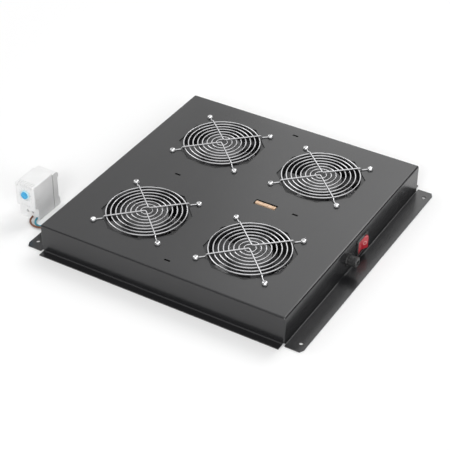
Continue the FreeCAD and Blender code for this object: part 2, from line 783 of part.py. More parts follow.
def fuse_parts():
    face = "-box_depth / 2"
    holder = new_body("fuse_holder")
    for sides, across, level, length, back in (
            (FAN_SIDES, "holder_rim_dia", "holder_rim", "holder_rim", True),
            (STATOR_SIDES, "holder_dia", "0", "holder_length", True)):
        sketch = new_sketch(holder, "XZ_Plane", level)
        sided(sketch, sides, across)
        pad(holder, sketch, length, back)
    sketch = new_sketch(holder, "XZ_Plane", "holder_rim")
    circle(sketch, "holder_bore")
    pocket(holder, sketch, "holder_rim + holder_bore_depth")
    place(holder, "fuse_x", face, "panel_mid")

    nut = new_body("fuse_holder_nut")
    sketch = new_sketch(nut, "XZ_Plane")
    sided(sketch, 6, "holder_nut_across")
    sided(sketch, STATOR_SIDES, "holder_dia + 2 * bearing_play")
    pad(nut, sketch, "holder_nut", reverse=True)
    place(nut, "fuse_x", face + " + wall", "panel_mid")

    # cap with a flat-sided grip, a round spigot in the holder and a socket for the carrier
    cap = new_body("fuse_cap")
    sketch = new_sketch(cap, "XZ_Plane", "holder_rim + seat_gap")
    sided(sketch, HEAD_SIDES + 2, "cap_dia")
    pad(cap, sketch, "cap_length")
    end = -(size("holder_rim") + size("seat_gap") + size("cap_length"))
    dress(cap, "Chamfer", lambda e: spans(e, "Y", end, end), "1", "Size")
    sketch = new_sketch(cap, "XZ_Plane", "holder_rim + seat_gap")
    circle(sketch, "cap_spigot_dia")
    circle(sketch, "cap_socket_dia")
    pad(cap, sketch, "cap_spigot_length + seat_gap", reverse=True)
    place(cap, "fuse_x", face, "panel_mid")

    start = "-(holder_rim + seat_gap) + seat_gap"
    carrier = turned("fuse_carrier", [
        ("link_dia / 2", start), ("carrier_dia / 2", start), ("carrier_dia / 2", start + " + carrier_length"),
        ("link_dia / 2", start + " + carrier_length")], "fuse_x", face, "panel_mid")
    link = turned("fuse_link", [
        ("0", start), ("link_dia / 2", start), ("link_dia / 2", start + " + 5"),
        ("link_dia / 2 - 0.3", start + " + 5"), ("link_dia / 2 - 0.3", start + " + link_length - 5"),
        ("link_dia / 2", start + " + link_length - 5"), ("link_dia / 2", start + " + link_length"),
        ("0", start + " + link_length")], "fuse_x", face, "panel_mid")
    return [holder, nut, cap, carrier, link]


parts.extend(fuse_parts())
holder_back = -size("box_depth") / 2 + size("holder_length")
tab_spots = [(size("fuse_x") + sign * size("holder_tab_pitch") / 2, size("panel_mid")) for sign in (-1, 1)]
parts.append(blade_tabs("fuse_holder_tabs", tab_spots, holder_back))

# ---------------------------------------------------------------- terminal block

def terminal_block():
    """Moulded pillar block under the top sheet; its rib fills the window."""
    body = new_body("terminal_block")
    sketch = new_sketch(body, "XY_Plane", "-block_height")
    rectangle(sketch, "block_width", "block_length")
    pad(body, sketch, "block_height")
    sketch = new_sketch(body, "XY_Plane")
    rectangle(sketch, "window_width - 2 * block_rib_play", "window_length - 2 * block_rib_play")
    pad(body, sketch, "wall - 0.2")
    for x in ("-block_screw_x", "block_screw_x"):
        sketch = new_sketch(body, "XY_Plane", "-block_height")
        for i in range(int(size("block_poles"))):
            sided(sketch, SHANK_SIDES, "block_screw_dia + 0.6",
                  x, "(%d - (block_poles - 1) / 2) * block_pole_pitch" % i)
        pocket(body, sketch, "block_height / 2", reverse=True)
    sketch = new_sketch(body, "YZ_Plane", "block_width / 2 + 1")
    for i in range(int(size("block_poles"))):
        rectangle(sketch, "block_entry", "block_entry", "(%d - (block_poles - 1) / 2) * block_pole_pitch" % i,
                  "-block_height / 3")
    pocket(body, sketch, "block_width + 2")
    place(body, "0", "window_y", "box_height - wall")
    return body


def block_screws():
    """Clamping screws, two to a pole, sunk in the underside of the block."""
    poles, radius = int(size("block_poles")), size("block_screw_dia") / 2
    foot = size("box_height") - size("wall") - size("block_height") + 1
    length = size("block_height") / 2 - 1
    screws = []
    for i in range(poles):
        y = size("window_y") + (i - (poles - 1) / 2) * size("block_pole_pitch")
        for sign in (-1, 1):
            screw = ring_prism(radius, SHANK_SIDES, length, foot)
            screw.translate(Vector(sign * size("block_screw_x"), y, 0))
            slot = Part.makeBox(2 * radius, 0.7, 0.8,
                                Vector(sign * size("block_screw_x") - radius, y - 0.35, foot))
            screws.append(screw.cut(slot))
    return Part.makeCompound(screws)


parts.append(terminal_block())
parts.append(coded("terminal_block_screws", block_screws()))

# ---------------------------------------------------------------- grommets

def grommet(label, x):
    """Rubber grommet, grooved to sit in the rear wall."""
    body = new_body(label)
    for across, level, length in (
            ("grommet_rim_dia", "-grommet_rim", "grommet_rim"),
            ("grommet_hole - 2 * grommet_groove_play", "0", "wall"),
            ("grommet_rim_dia", "wall", "grommet_rim")):
        sketch = new_sketch(body, "XZ_Plane", level)
        sided(sketch, STATOR_SIDES, across)
        circle(sketch, "grommet_bore")
        pad(body, sketch, length)
    place(body, x, "box_depth / 2", "grommet_z")
    return body


wall_grommets = doc.addObject("Part::Compound", "wall_grommets")
wall_grommets.Links = [grommet("lead_grommet", "-(box_width / 2 - grommet_margin)"),
                       grommet("mains_grommet", "(box_width / 2 - grommet_margin)")]
parts.append(wall_grommets)

# ---------------------------------------------------------------- thermostat

FACE_X = "(thermostat_margin - box_width / 2)"
MIDDLE_Y = "(box_depth / 2 + wide_flange + thermostat_gap + thermostat_width / 2)"
face_x = size("thermostat_margin") - size("box_width") / 2
middle_y = size("box_depth") / 2 + size("wide_flange") + size("thermostat_gap") + size("thermostat_width") / 2


def thermostat_housing():
    """Box housing that stands behind the tray; its dial faces -X. Local origin: front face foot."""
    body = new_body("thermostat_housing")
    sketch = new_sketch(body, "XZ_Plane")
    outline(sketch, [
        ("terminal_recess", "0"), ("thermostat_depth", "0"), ("thermostat_depth", "thermostat_height"),
        ("0", "thermostat_height"), ("0", "terminal_recess_height"),
        ("terminal_recess", "terminal_recess_height")])
    pad(body, sketch, "thermostat_width")
    body.Tip.Midplane = True
    width, tall, deep = size("thermostat_width"), size("thermostat_height"), size("thermostat_depth")
    recess, ledge = size("terminal_recess"), size("terminal_recess_height")
    dress(body, "Fillet", lambda e: spans(e, "Z", ledge, ledge) and spans(e, "X", recess, recess),
          "terminal_recess_round")
    dress(body, "Chamfer", lambda e: spans(e, "Z", tall, tall) and e.CenterOfMass.x < deep - 1
          or spans(e, "X", 0, 0) and e.CenterOfMass.z > ledge + 1, "thermostat_edge", "Size")

    # dial well, terminal screw holes and wire entries, all in the front
    sketch = new_sketch(body, "YZ_Plane", "-1")
    sided(sketch, FAN_SIDES, "dial_well_dia", "0", "dial_z")
    pocket(body, sketch, "1 + dial_well", reverse=True)
    sketch = new_sketch(body, "YZ_Plane", "-1")
    circle(sketch, "dial_stem_dia + 2 * bearing_play", "0", "dial_z")
    pocket(body, sketch, "1 + dial_well + dial_stem + 0.3", reverse=True)
    for kind, dia in (("terminal_hole", "terminal_hole_dia"), ("entry", "lead_dia + 0.6")):
        sketch = new_sketch(body, "YZ_Plane", "-1")
        offset, pitch = ("terminal_offset", "terminal_pitch") if dia == "terminal_hole_dia" else (
            "entry_offset", "entry_pitch")
        for half in ("-0.5", "0.5"):
            sided(sketch, 8, dia, "-%s + %s * %s" % (offset, half, pitch), kind + "_z")
        pocket(body, sketch, "1 + terminal_recess + %s_depth" % kind, reverse=True)

    # vents over the front edge, and in the right-hand side near the front
    sketch = new_sketch(body, "XY_Plane", "thermostat_height + 1")
    for i in range(int(size("vent_count"))):
        rectangle(sketch, "vent_length", "vent_width", "vent_length / 2 - 1",
                  "(%d - (vent_count - 1) / 2) * vent_pitch" % i)
    pocket(body, sketch, "1 + vent_depth")
    sketch = new_sketch(body, "YZ_Plane", "-1")
    for i in range(int(size("vent_count"))):
        rectangle(sketch, "vent_width", "vent_drop + 1",
                  "(%d - (vent_count - 1) / 2) * vent_pitch" % i, "thermostat_height - vent_drop / 2")
    pocket(body, sketch, "1 + vent_depth", reverse=True)
    sketch = new_sketch(body, "XZ_Plane", "thermostat_width / 2 + 1")
    for i in range(int(size("side_vent_count"))):
        x, z = "vent_width", "side_vent_z + %d * side_vent_pitch" % i
        rectangle(sketch, "side_vent_length", "vent_width", x + " + side_vent_length / 2", z)
    pocket(body, sketch, "1 + vent_depth")
    place(body, FACE_X, MIDDLE_Y, "0")
    return body


def thermostat_dial():
    """Setting dial with a stem that turns in the housing and a screwdriver slot across its face."""
    body = new_body("thermostat_dial")
    sketch = new_sketch(body, "YZ_Plane", "dial_well - dial_height")
    sided(sketch, FAN_SIDES, "dial_dia")
    pad(body, sketch, "dial_height - seat_gap")
    face = size("dial_well") - size("dial_height")
    dress(body, "Chamfer", lambda e: spans(e, "X", face, face), "0.8", "Size")
    sketch = new_sketch(body, "YZ_Plane", "dial_well - seat_gap")
    circle(sketch, "dial_stem_dia")
    pad(body, sketch, "dial_stem + seat_gap")
    sketch = new_sketch(body, "YZ_Plane", "-dial_height")
    rectangle(sketch, "dial_slot", "dial_dia - 3")
    pocket(body, sketch, "dial_well + 1.2", reverse=True)
    place(body, FACE_X, MIDDLE_Y, "dial_z")
    return body


def terminal_screws():
    """Slotted clamp screws at the bottom of the two terminal holes."""
    screws = []
    for half in (-0.5, 0.5):
        y = middle_y - size("terminal_offset") + half * size("terminal_pitch")
        start = face_x + size("terminal_recess") + 2
        length = size("terminal_hole_depth") - 2
        radius = size("terminal_hole_dia") / 2 - 0.2
        screw = ring_prism(radius, 8, length, 0)
        screw.rotate(Vector(0, 0, 0), Vector(0, 1, 0), 90)
        screw.translate(Vector(start, y, size("terminal_hole_z")))
        slot = Part.makeBox(0.8, 0.7, 2 * radius, Vector(start, y - 0.35, size("terminal_hole_z") - radius))
        screws.append(screw.cut(slot))
    return Part.makeCompound(screws)


def rail_clip():
    """Rail clip behind the thermostat: sloped at the top, open at the back for a 35 mm rail."""
    body = new_body("thermostat_rail_clip")
    sketch = new_sketch(body, "XZ_Plane")
    start, end = "thermostat_depth + clip_gap", "thermostat_depth + clip_depth"
    lip = end + " - clip_lip"
    low, high = "(thermostat_height - rail_slot) / 2", "(thermostat_height + rail_slot) / 2"
    outline(sketch, [(start, "0"), (end, "0"), (end, low), (lip, low), (lip, high), (end, high),
                     (end, high + " + 1"), ("thermostat_depth + clip_depth - clip_slope", "clip_shoulder"),
                     (start, "clip_height")])
    pad(body, sketch, "clip_width")
    body.Tip.Midplane = True
    shoulder = size("clip_shoulder")
    dress(body, "Fillet", lambda e: spans(e, "Z", shoulder, shoulder), "clip_round")
    # two ribs hold the clip off the housing
    sketch = new_sketch(body, "YZ_Plane", "thermostat_depth")
    for z in ("clip_low_rib_z", "clip_high_rib_z"):
        rectangle(sketch, "clip_width", "clip_rib", "0", z)
    pad(body, sketch, "clip_gap")
    place(body, FACE_X, MIDDLE_Y, "0")
    return body


parts.append(thermostat_housing())
parts.append(thermostat_dial())
parts.append(coded("thermostat_terminal_screws", terminal_screws()))
parts.append(rail_clip())

# ---------------------------------------------------------------- leads

LEAD_SIDES = 6


def lead_wire(points):
    """Straight runs joined by tangent arcs, each as large as its two runs allow."""
    edges, radii = [], []
    at = points[0]
    for before, corner, after in zip(points, points[1:], points[2:]):
        back, ahead = before - corner, after - corner
        turn = math.pi - back.getAngle(ahead)
        reach = 0.45 * min(back.Length, ahead.Length)
        radii.append(reach / math.tan(turn / 2))
        start = corner + back * (reach / back.Length)
        end = corner + ahead * (reach / ahead.Length)
        inward = back * (1 / back.Length) + ahead * (1 / ahead.Length)
        inward.normalize()
        depth = radii[-1] / math.cos(turn / 2) - radii[-1]
        edges.append(Part.LineSegment(at, start).toShape())
        edges.append(Part.Arc(start, corner + inward * depth, end).toShape())
        at = end
    edges.append(Part.LineSegment(at, points[-1]).toShape())
    return Part.Wire(edges), radii


def lead(label, diameter, points):
    """A plain six-sided tube along a lead's route."""
    points = [Vector(*point) for point in points]
    wire, radii = lead_wire(points)
    along = (points[1] - points[0]).normalize()
    turn = FreeCAD.Rotation(Vector(0, 0, 1), along)
    radius = diameter / 2
    ring = [points[0] + turn.multVec(Vector(radius * math.cos(2 * math.pi * i / LEAD_SIDES),
                                            radius * math.sin(2 * math.pi * i / LEAD_SIDES), 0))
            for i in range(LEAD_SIDES)]
    tube = wire.makePipeShell([Part.makePolygon(ring + [ring[0]])], True, False)
    section = LEAD_SIDES / 2 * radius ** 2 * math.sin(2 * math.pi / LEAD_SIDES)
    print("%s: length %.0f, tightest radius %.1f, volume ratio %.3f"
          % (label, wire.Length, min(radii), tube.Volume / (section * wire.Length)))
    return tube


def routed(label, diameter, points):
    return coded(label, lead(label, diameter, points))


gap = size("seat_gap")
duct_x = fan_x - size("fan_duct") / 2 - gap
block_x = size("block_width") / 2 + gap
block_z = size("box_height") - size("wall") - size("block_height") / 3
block_y = [size("window_y") + (i - (size("block_poles") - 1) / 2) * size("block_pole_pitch")
           for i in range(int(size("block_poles")))]
rear_x, rear_y = size("grommet_margin") - size("box_width") / 2, size("box_depth") / 2

# fan leads: out of the duct towards the channel between the fans, then up to the block
fan_leads = []
for side, word in ((-1, "left"), (1, "right")):
    fan_leads.append(lead("fan_lead_front_" + word, size("cord_dia"), [
        (side * duct_x, -fan_y - 3.5, 15), (side * 32, -fan_y - 3, 15),
        (side * 26, -fan_y + 2.5, 19), (side * 24, -71, 26),
        (side * 21.5, -63, 33), (side * 16, -58, block_z - 0.5), (side * block_x, block_y[1], block_z)]))
    fan_leads.append(lead("fan_lead_rear_" + word, size("cord_dia"), [
        (side * duct_x, fan_y - 20.5, 15), (side * 32, fan_y - 22.5, 15),
        (side * 26, fan_y - 32.5, 18), (side * 24, 34, 22), (side * 23, 14, 26),
        (side * 21, -6, 30), (side * 19, -24, block_z - 3), (side * 15.5, -37, block_z - 0.5),
        (side * block_x, block_y[3], block_z)]))
parts.append(coded("fan_leads", Part.makeCompound(fan_leads)))

# leads from the switch and the fuse holder to the block
tab_z = size("panel_mid")
switch_end = switch_back + size("tab_length") + gap
holder_end = holder_back + size("tab_length") + gap
parts.append(routed("switch_lead", size("lead_dia"), [
    (size("switch_x") + size("tab_pitch_x") / 2, switch_end, tab_z + size("tab_pitch_z") / 2),
    (22.5, -149, 28), (22, -136, 30), (19, -122, 33), (17, -108, 35.5),
    (15.5, -93, 37.5), (15, -80, block_z - 0.8),
    (13, -70, block_z - 0.3), (block_x, block_y[0], block_z)]))
parts.append(routed("fuse_lead", size("lead_dia"), [
    (size("fuse_x") + size("holder_tab_pitch") / 2, holder_end, tab_z), (-21, -141, 23), (-21.5, -128, 27),
    (-19, -114, 32), (-16.5, -101, 35.5), (-15.5, -89, 37.5),
    (-15, -78, block_z - 0.8), (-13, -70, block_z - 0.3),
    (-block_x, block_y[0], block_z)]))

# pair from the rear grommet to the block, behind and then between the fans
inner_face = rear_y - size("wall") - size("grommet_rim")
grommet_z = size("grommet_z")
parts.append(routed("thermostat_inner_lead", size("cord_dia"), [
    (rear_x, inner_face - gap, grommet_z), (rear_x + 1, rear_y - 12, 16.5), (rear_x + 8, rear_y - 23, 18),
    (rear_x + 22, rear_y - 29, 19), (rear_x + 46, rear_y - 30.5, 19.5), (rear_x + 76, rear_y - 30, 20),
    (-48, rear_y - 34, 21), (-29, rear_y - 45, 22), (-16, rear_y - 63, 24), (-10, 102, 27), (-9, 72, 29.5),
    (-10, 42, 32), (-10, 14, 34.5), (-11, -6, 37), (-12.5, -19, block_z - 0.5), (-12.5, -28, block_z - 0.1),
    (-block_x, block_y[4], block_z)]))

# the two thermostat leads: out of the housing's front, down to the floor, over the rear flange
# and through the grommet
entry_x, entry_y = face_x + size("terminal_recess"), middle_y - size("entry_offset")
half_pitch = size("entry_pitch") / 2
floor = size("lead_dia") / 2 + 0.05
parts.append(routed("lead_brown", size("lead_dia"), [
    (entry_x, entry_y + half_pitch, size("entry_z")), (rear_x - 2, rear_y + 56.7, 3.2),
    (rear_x - 8.5, rear_y + 52, 2), (rear_x - 11.5, rear_y + 44, floor), (rear_x - 11.2, rear_y + 35, 2.2),
    (rear_x - 8.5, rear_y + 26.5, 4), (rear_x - 5, rear_y + 19, 7.5), (rear_x - 2.4, rear_y + 12.5, 12),
    (rear_x - 1.5, rear_y + 6, 15.3), (rear_x - 1.5, inner_face, grommet_z)]))
parts.append(routed("lead_blue", size("lead_dia"), [
    (entry_x, entry_y - half_pitch, size("entry_z")), (rear_x - 1.5, rear_y + 48.6, 3.1),
    (rear_x - 6.8, rear_y + 44, 1.9), (rear_x - 7.8, rear_y + 37, 1.7), (rear_x - 5.8, rear_y + 29.8, 3.2),
    (rear_x - 2.5, rear_y + 22.8, 6), (rear_x + 0.4, rear_y + 16, 10.5), (rear_x + 1.5, rear_y + 7, 15.2),
    (rear_x + 1.5, inner_face, grommet_z)]))

# ---------------------------------------------------------------- check and write

doc.recompute()
for item in doc.Objects:
    if "Invalid" in item.State or "Error" in item.State:
        raise RuntimeError("%s failed: %s" % (item.Name, item.State))
os.makedirs("parts", exist_ok=True)
for part in parts:
    if part.Shape.isNull() or not part.Shape.isValid():
        raise RuntimeError(part.Label + " has no valid shape")
for part in parts:
    part.Shape.exportStep("parts/%s.step" % part.Label)
print("%d sub-parts written" % len(parts))
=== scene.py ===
# Rack fan tray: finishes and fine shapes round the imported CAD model. Metres, +Z up, front at -Y.
import math

import bmesh
import bpy
from mathutils import Matrix, Vector


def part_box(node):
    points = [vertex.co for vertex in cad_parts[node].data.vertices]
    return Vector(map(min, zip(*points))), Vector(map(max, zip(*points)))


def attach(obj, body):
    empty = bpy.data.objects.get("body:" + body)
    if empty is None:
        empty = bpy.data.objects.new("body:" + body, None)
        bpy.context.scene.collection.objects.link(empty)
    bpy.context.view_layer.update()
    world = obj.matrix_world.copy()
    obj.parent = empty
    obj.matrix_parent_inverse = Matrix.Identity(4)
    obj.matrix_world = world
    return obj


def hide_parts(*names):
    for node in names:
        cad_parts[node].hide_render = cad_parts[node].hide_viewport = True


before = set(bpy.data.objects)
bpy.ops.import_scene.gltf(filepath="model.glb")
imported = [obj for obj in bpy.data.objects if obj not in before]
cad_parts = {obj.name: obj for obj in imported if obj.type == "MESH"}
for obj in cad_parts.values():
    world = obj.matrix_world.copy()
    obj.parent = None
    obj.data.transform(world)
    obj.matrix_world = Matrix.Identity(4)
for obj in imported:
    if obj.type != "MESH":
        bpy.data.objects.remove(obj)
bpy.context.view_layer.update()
mm = 0.001
stations = ["front_left", "front_right", "rear_left", "rear_right"]
corners = [(-1, -1), (1, -1), (-1, 1), (1, 1)]
bpy.context.scene.view_settings.view_transform = "Standard"


def place(item):
    bpy.context.scene.collection.objects.link(item)
    return item


def aimed(item, direction):
    item.rotation_mode = "QUATERNION"
    item.rotation_quaternion = Vector(direction).to_track_quat("-Z", "Y")


camera = {
    "place": (-1.3739, -0.8111, 1.1747),
    "aim": (0.68779, 0.41444, -0.59598),
    "lens": 111.5,
    "sensor": 36,
    "clip": (0.05, 50),
}


def addCamera():
    data = bpy.data.cameras.new("camera")
    data.lens, data.sensor_width = camera["lens"], camera["sensor"]
    data.clip_start, data.clip_end = camera["clip"]
    eye = place(bpy.data.objects.new("camera", data))
    eye.location = camera["place"]
    aimed(eye, camera["aim"])
    bpy.context.scene.camera = eye


addCamera()
print("camera set")


def paint(name, colour, **sockets):
    material = bpy.data.materials.new(name)
    material.use_nodes = True
    shader = material.node_tree.nodes["Principled BSDF"]
    shader.inputs["Base Color"].default_value = (*colour, 1)
    for socket, value in sockets.items():
        shader.inputs[socket.replace("_", " ")].default_value = value
    return material


# owner is a material or the world
def addNode(owner, kind, **inputs):
    node = owner.node_tree.nodes.new(kind)
    for socket, value in inputs.items():
        node.inputs[socket.replace("_", " ")].default_value = value
    return node


def wire(owner, source, target):
    owner.node_tree.links.new(source, target)


def maths(owner, operation, *sources):
    node = addNode(owner, "ShaderNodeMath")
    node.operation = operation
    for socket, source in zip(node.inputs, sources):
        wire(owner, source, socket)
    return node.outputs[0]


def smoothRange(owner, source, start, end):
    spread = addNode(owner, "ShaderNodeMapRange", From_Min=start, From_Max=end)
    spread.interpolation_type = "SMOOTHSTEP"
    wire(owner, source, spread.inputs["Value"])
    return spread.outputs["Result"]


# the rays that show the background: straight, mirrored and through glass
def seenRays(owner, rays):
    mirrored = maths(owner, "MAXIMUM", rays["Is Glossy Ray"], rays["Is Transmission Ray"])
    return maths(owner, "MAXIMUM", rays["Is Camera Ray"], mirrored)


def shaderOf(material):
    return material.node_tree.nodes["Principled BSDF"]


def cloudy(material, scale, detail=3.0):
    spot = addNode(material, "ShaderNodeTexCoord")
    noise = addNode(material, "ShaderNodeTexNoise", Scale=scale, Detail=detail)
    wire(material, spot.outputs["Object"], noise.inputs["Vector"])
    return noise


def mottled(material, dark, light, scale):
    noise = cloudy(material, scale)
    ramp = addNode(material, "ShaderNodeValToRGB")
    for stop, position, colour in zip(ramp.color_ramp.elements, (0.3, 0.7), (dark, light)):
        stop.position = position
        stop.color = (*colour, 1)
    wire(material, noise.outputs["Fac"], ramp.inputs["Fac"])
    wire(material, ramp.outputs["Color"], shaderOf(material).inputs["Base Color"])


def uneven(material, low, high, scale):
    noise = cloudy(material, scale, detail=4.0)
    spread = addNode(material, "ShaderNodeMapRange", To_Min=low, To_Max=high)
    wire(material, noise.outputs["Fac"], spread.inputs["Value"])
    wire(material, spread.outputs["Result"], shaderOf(material).inputs["Roughness"])


def grained(material, scale, strength, depth, edge=0.0):
    noise = cloudy(material, scale, detail=2.0)
    bump = addNode(material, "ShaderNodeBump", Strength=strength, Distance=depth)
    wire(material, noise.outputs["Fac"], bump.inputs["Height"])
    if edge:
        softened = addNode(material, "ShaderNodeBevel", Radius=edge)
        softened.samples = 4
        wire(material, softened.outputs["Normal"], bump.inputs["Normal"])
    wire(material, bump.outputs["Normal"], shaderOf(material).inputs["Normal"])


def powderCoat():
    coat = paint("powderCoat", (0.014, 0.014, 0.015), Roughness=0.25, Specular_IOR_Level=0.58)
    mottled(coat, dark=(0.012, 0.012, 0.013), light=(0.016, 0.016, 0.017), scale=9)
    uneven(coat, low=0.21, high=0.29, scale=60)
    grained(coat, scale=1600, strength=0.1, depth=0.1 * mm, edge=0.4 * mm)
    return coat


def castBlack():
    cast = paint("castBlack", (0.014, 0.014, 0.015), Roughness=0.42, Specular_IOR_Level=0.45)
    mottled(cast, dark=(0.010, 0.010, 0.011), light=(0.019, 0.019, 0.020), scale=40)
    uneven(cast, low=0.36, high=0.5, scale=90)
    grained(cast, scale=900, strength=0.3, depth=0.2 * mm, edge=0.4 * mm)
    return cast


def bladePlastic():
    plastic = paint("bladePlastic", (0.045, 0.045, 0.047), Roughness=0.36)
    mottled(plastic, dark=(0.038, 0.038, 0.040), light=(0.052, 0.052, 0.054), scale=30)
    uneven(plastic, low=0.3, high=0.42, scale=120)
    grained(plastic, scale=500, strength=0.08, depth=0.2 * mm)
    return plastic


def chromeWire():
    chrome = paint("chromeWire", (0.60, 0.60, 0.61), Metallic=1.0, Roughness=0.26)
    mottled(chrome, dark=(0.56, 0.56, 0.57), light=(0.64, 0.64, 0.65), scale=200)
    uneven(chrome, low=0.18, high=0.32, scale=300)
    return chrome


def platedSteel():
    plate = paint("platedSteel", (0.66, 0.66, 0.67), Metallic=1.0, Roughness=0.16)
    mottled(plate, dark=(0.60, 0.60, 0.60), light=(0.72, 0.72, 0.73), scale=260)
    uneven(plate, low=0.1, high=0.24, scale=400)
    grained(plate, scale=1500, strength=0.1, depth=0.1 * mm)
    return plate


def windingVarnish():
    varnish = paint("windingVarnish", (0.30, 0.12, 0.05), Roughness=0.3)
    mottled(varnish, dark=(0.22, 0.08, 0.03), light=(0.38, 0.17, 0.07), scale=300)
    grained(varnish, scale=1200, strength=0.4, depth=0.4 * mm)
    return varnish


def blackPlastic():
    plastic = paint("blackPlastic", (0.02, 0.02, 0.02), Roughness=0.28)
    mottled(plastic, dark=(0.016, 0.016, 0.016), light=(0.026, 0.026, 0.026), scale=150)
    uneven(plastic, low=0.22, high=0.34, scale=200)
    grained(plastic, scale=1800, strength=0.12, depth=0.1 * mm)
    return plastic


def redLens():
    lens = paint("redLens", (0.40, 0.014, 0.026), Roughness=0.3, IOR=1.5, Coat_Weight=0.3)
    mottled(lens, dark=(0.34, 0.010, 0.020), light=(0.46, 0.018, 0.032), scale=180)
    grained(lens, scale=500, strength=0.05, depth=0.2 * mm)
    return lens


def markWhite():
    ink = paint("markWhite", (0.62, 0.42, 0.40), Roughness=0.5)
    mottled(ink, dark=(0.56, 0.36, 0.35), light=(0.68, 0.48, 0.46), scale=900)
    return ink


def beigeMoulding():
    beige = paint("beigeMoulding", (0.68, 0.48, 0.33), Roughness=0.5)
    mottled(beige, dark=(0.62, 0.43, 0.28), light=(0.74, 0.53, 0.37), scale=120)
    grained(beige, scale=900, strength=0.1, depth=0.2 * mm)
    return beige


def greyMoulding():
    grey = paint("greyMoulding", (0.78, 0.78, 0.78), Roughness=0.5)
    mottled(grey, dark=(0.76, 0.76, 0.76), light=(0.80, 0.80, 0.80), scale=60)
    uneven(grey, low=0.45, high=0.6, scale=150)
    grained(grey, scale=2200, strength=0.1, depth=0.1 * mm)
    return grey


def bluePlastic():
    blue = paint("bluePlastic", (0.03, 0.36, 0.66), Roughness=0.35)
    mottled(blue, dark=(0.02, 0.30, 0.60), light=(0.05, 0.44, 0.74), scale=260)
    grained(blue, scale=900, strength=0.08, depth=0.1 * mm)
    return blue


def printGrey():
    ink = paint("printGrey", (0.36, 0.37, 0.39), Roughness=0.6)
    mottled(ink, dark=(0.3, 0.31, 0.33), light=(0.42, 0.43, 0.45), scale=900)
    return ink


def paleHalo():
    halo = paint("paleHalo", (0.62, 0.80, 0.86), Roughness=0.5)
    mottled(halo, dark=(0.50, 0.78, 0.86), light=(0.60, 0.84, 0.90), scale=300)
    return halo


def rubberBlack():
    rubber = paint("rubberBlack", (0.015, 0.015, 0.015), Roughness=0.7)
    mottled(rubber, dark=(0.011, 0.011, 0.011), light=(0.021, 0.021, 0.021), scale=200)
    grained(rubber, scale=1400, strength=0.25, depth=0.2 * mm)
    return rubber


def insulation(name, dark, light):
    jacket = paint(name, light, Roughness=0.42)
    mottled(jacket, dark, light, scale=140)
    grained(jacket, scale=1100, strength=0.12, depth=0.2 * mm)
    return jacket


def fuseGlass():
    glass = paint("fuseGlass", (0.9, 0.92, 0.92), Roughness=0.05, Transmission_Weight=0.85, IOR=1.5)
    mottled(glass, dark=(0.86, 0.88, 0.88), light=(0.94, 0.95, 0.95), scale=100)
    return glass


finish = {
    "powder": powderCoat(),
    "cast": castBlack(),
    "blade": bladePlastic(),
    "chrome": chromeWire(),
    "plated": platedSteel(),
    "winding": windingVarnish(),
    "black": blackPlastic(),
    "red": redLens(),
    "beige": beigeMoulding(),
    "grey": greyMoulding(),
    "blue": bluePlastic(),
    "print": printGrey(),
    "halo": paleHalo(),
    "mark": markWhite(),
    "rubber": rubberBlack(),
    "glass": fuseGlass(),
    "brownWire": insulation("brownWire", dark=(0.13, 0.045, 0.018), light=(0.22, 0.08, 0.03)),
    "blueWire": insulation("blueWire", dark=(0.03, 0.22, 0.30), light=(0.05, 0.31, 0.40)),
    "blackWire": insulation("blackWire", dark=(0.016, 0.016, 0.016), light=(0.024, 0.024, 0.024)),
}
print("finishes made:", len(finish))


leads = {
    "diameter": 2.8 * mm,
    "lengths": {"brown": 74 * mm, "blue": 64 * mm},
    "brown": [(-145.5, 248.2, 3.4), (-152, 247.7, 3.2), (-158.5, 243, 2), (-161.5, 235, 1.45),
              (-161.2, 226, 2.2), (-158.5, 217.5, 4), (-155, 210, 7.5), (-152.4, 203.5, 12),
              (-151.5, 197, 15.3), (-151.5, 187.9, 16)],
    "blue": [(-145.5, 240.4, 3.4), (-151.5, 239.6, 3.1), (-156.8, 235, 1.9), (-157.8, 228, 1.7),
             (-155.8, 220.8, 3.2), (-152.5, 213.8, 6), (-149.6, 207, 10.5), (-148.5, 198, 15.2),
             (-148.5, 187.9, 16)],
}


def bentRod(name, points, radius, steps, sides):
    data = bpy.data.curves.new(name, "CURVE")
    data.dimensions = "3D"
    line = data.splines.new("NURBS")
    line.points.add(len(points) - 1)
    for point, spot in zip(line.points, points):
        point.co = (*spot, 1)
    line.order_u = 3
    line.use_endpoint_u = True
    line.resolution_u = steps
    data.bevel_depth = radius
    data.bevel_resolution = sides
    data.use_fill_caps = True
    return data


def addLead(colour):
    points = [[value * mm for value in point] for point in leads[colour]]
    data = bentRod(colour + "Lead", points, leads["diameter"] / 2, 8, 4)
    data.materials.append(finish[colour + "Wire"])
    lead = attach(place(bpy.data.objects.new(colour + "Lead", data)), "tray")
    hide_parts("lead_" + colour)


addLead("brown")
addLead("blue")
print("thermostat leads laid")


def everyEdge(edge):
    return True


def alongAxis(edge, axis):
    first, second = edge.verts
    return all(abs(first.co[i] - second.co[i]) < 1e-7 for i in range(3) if i != axis)


def upright(edge):
    return alongAxis(edge, 2)


def rounded(shape, edges, radius, segments=3):
    bmesh.ops.bevel(shape, geom=[edge for edge in shape.edges if edges(edge)], offset=radius,
                    offset_type="OFFSET", affect="EDGES", segments=segments, profile=0.5, material=-1)
    return shape


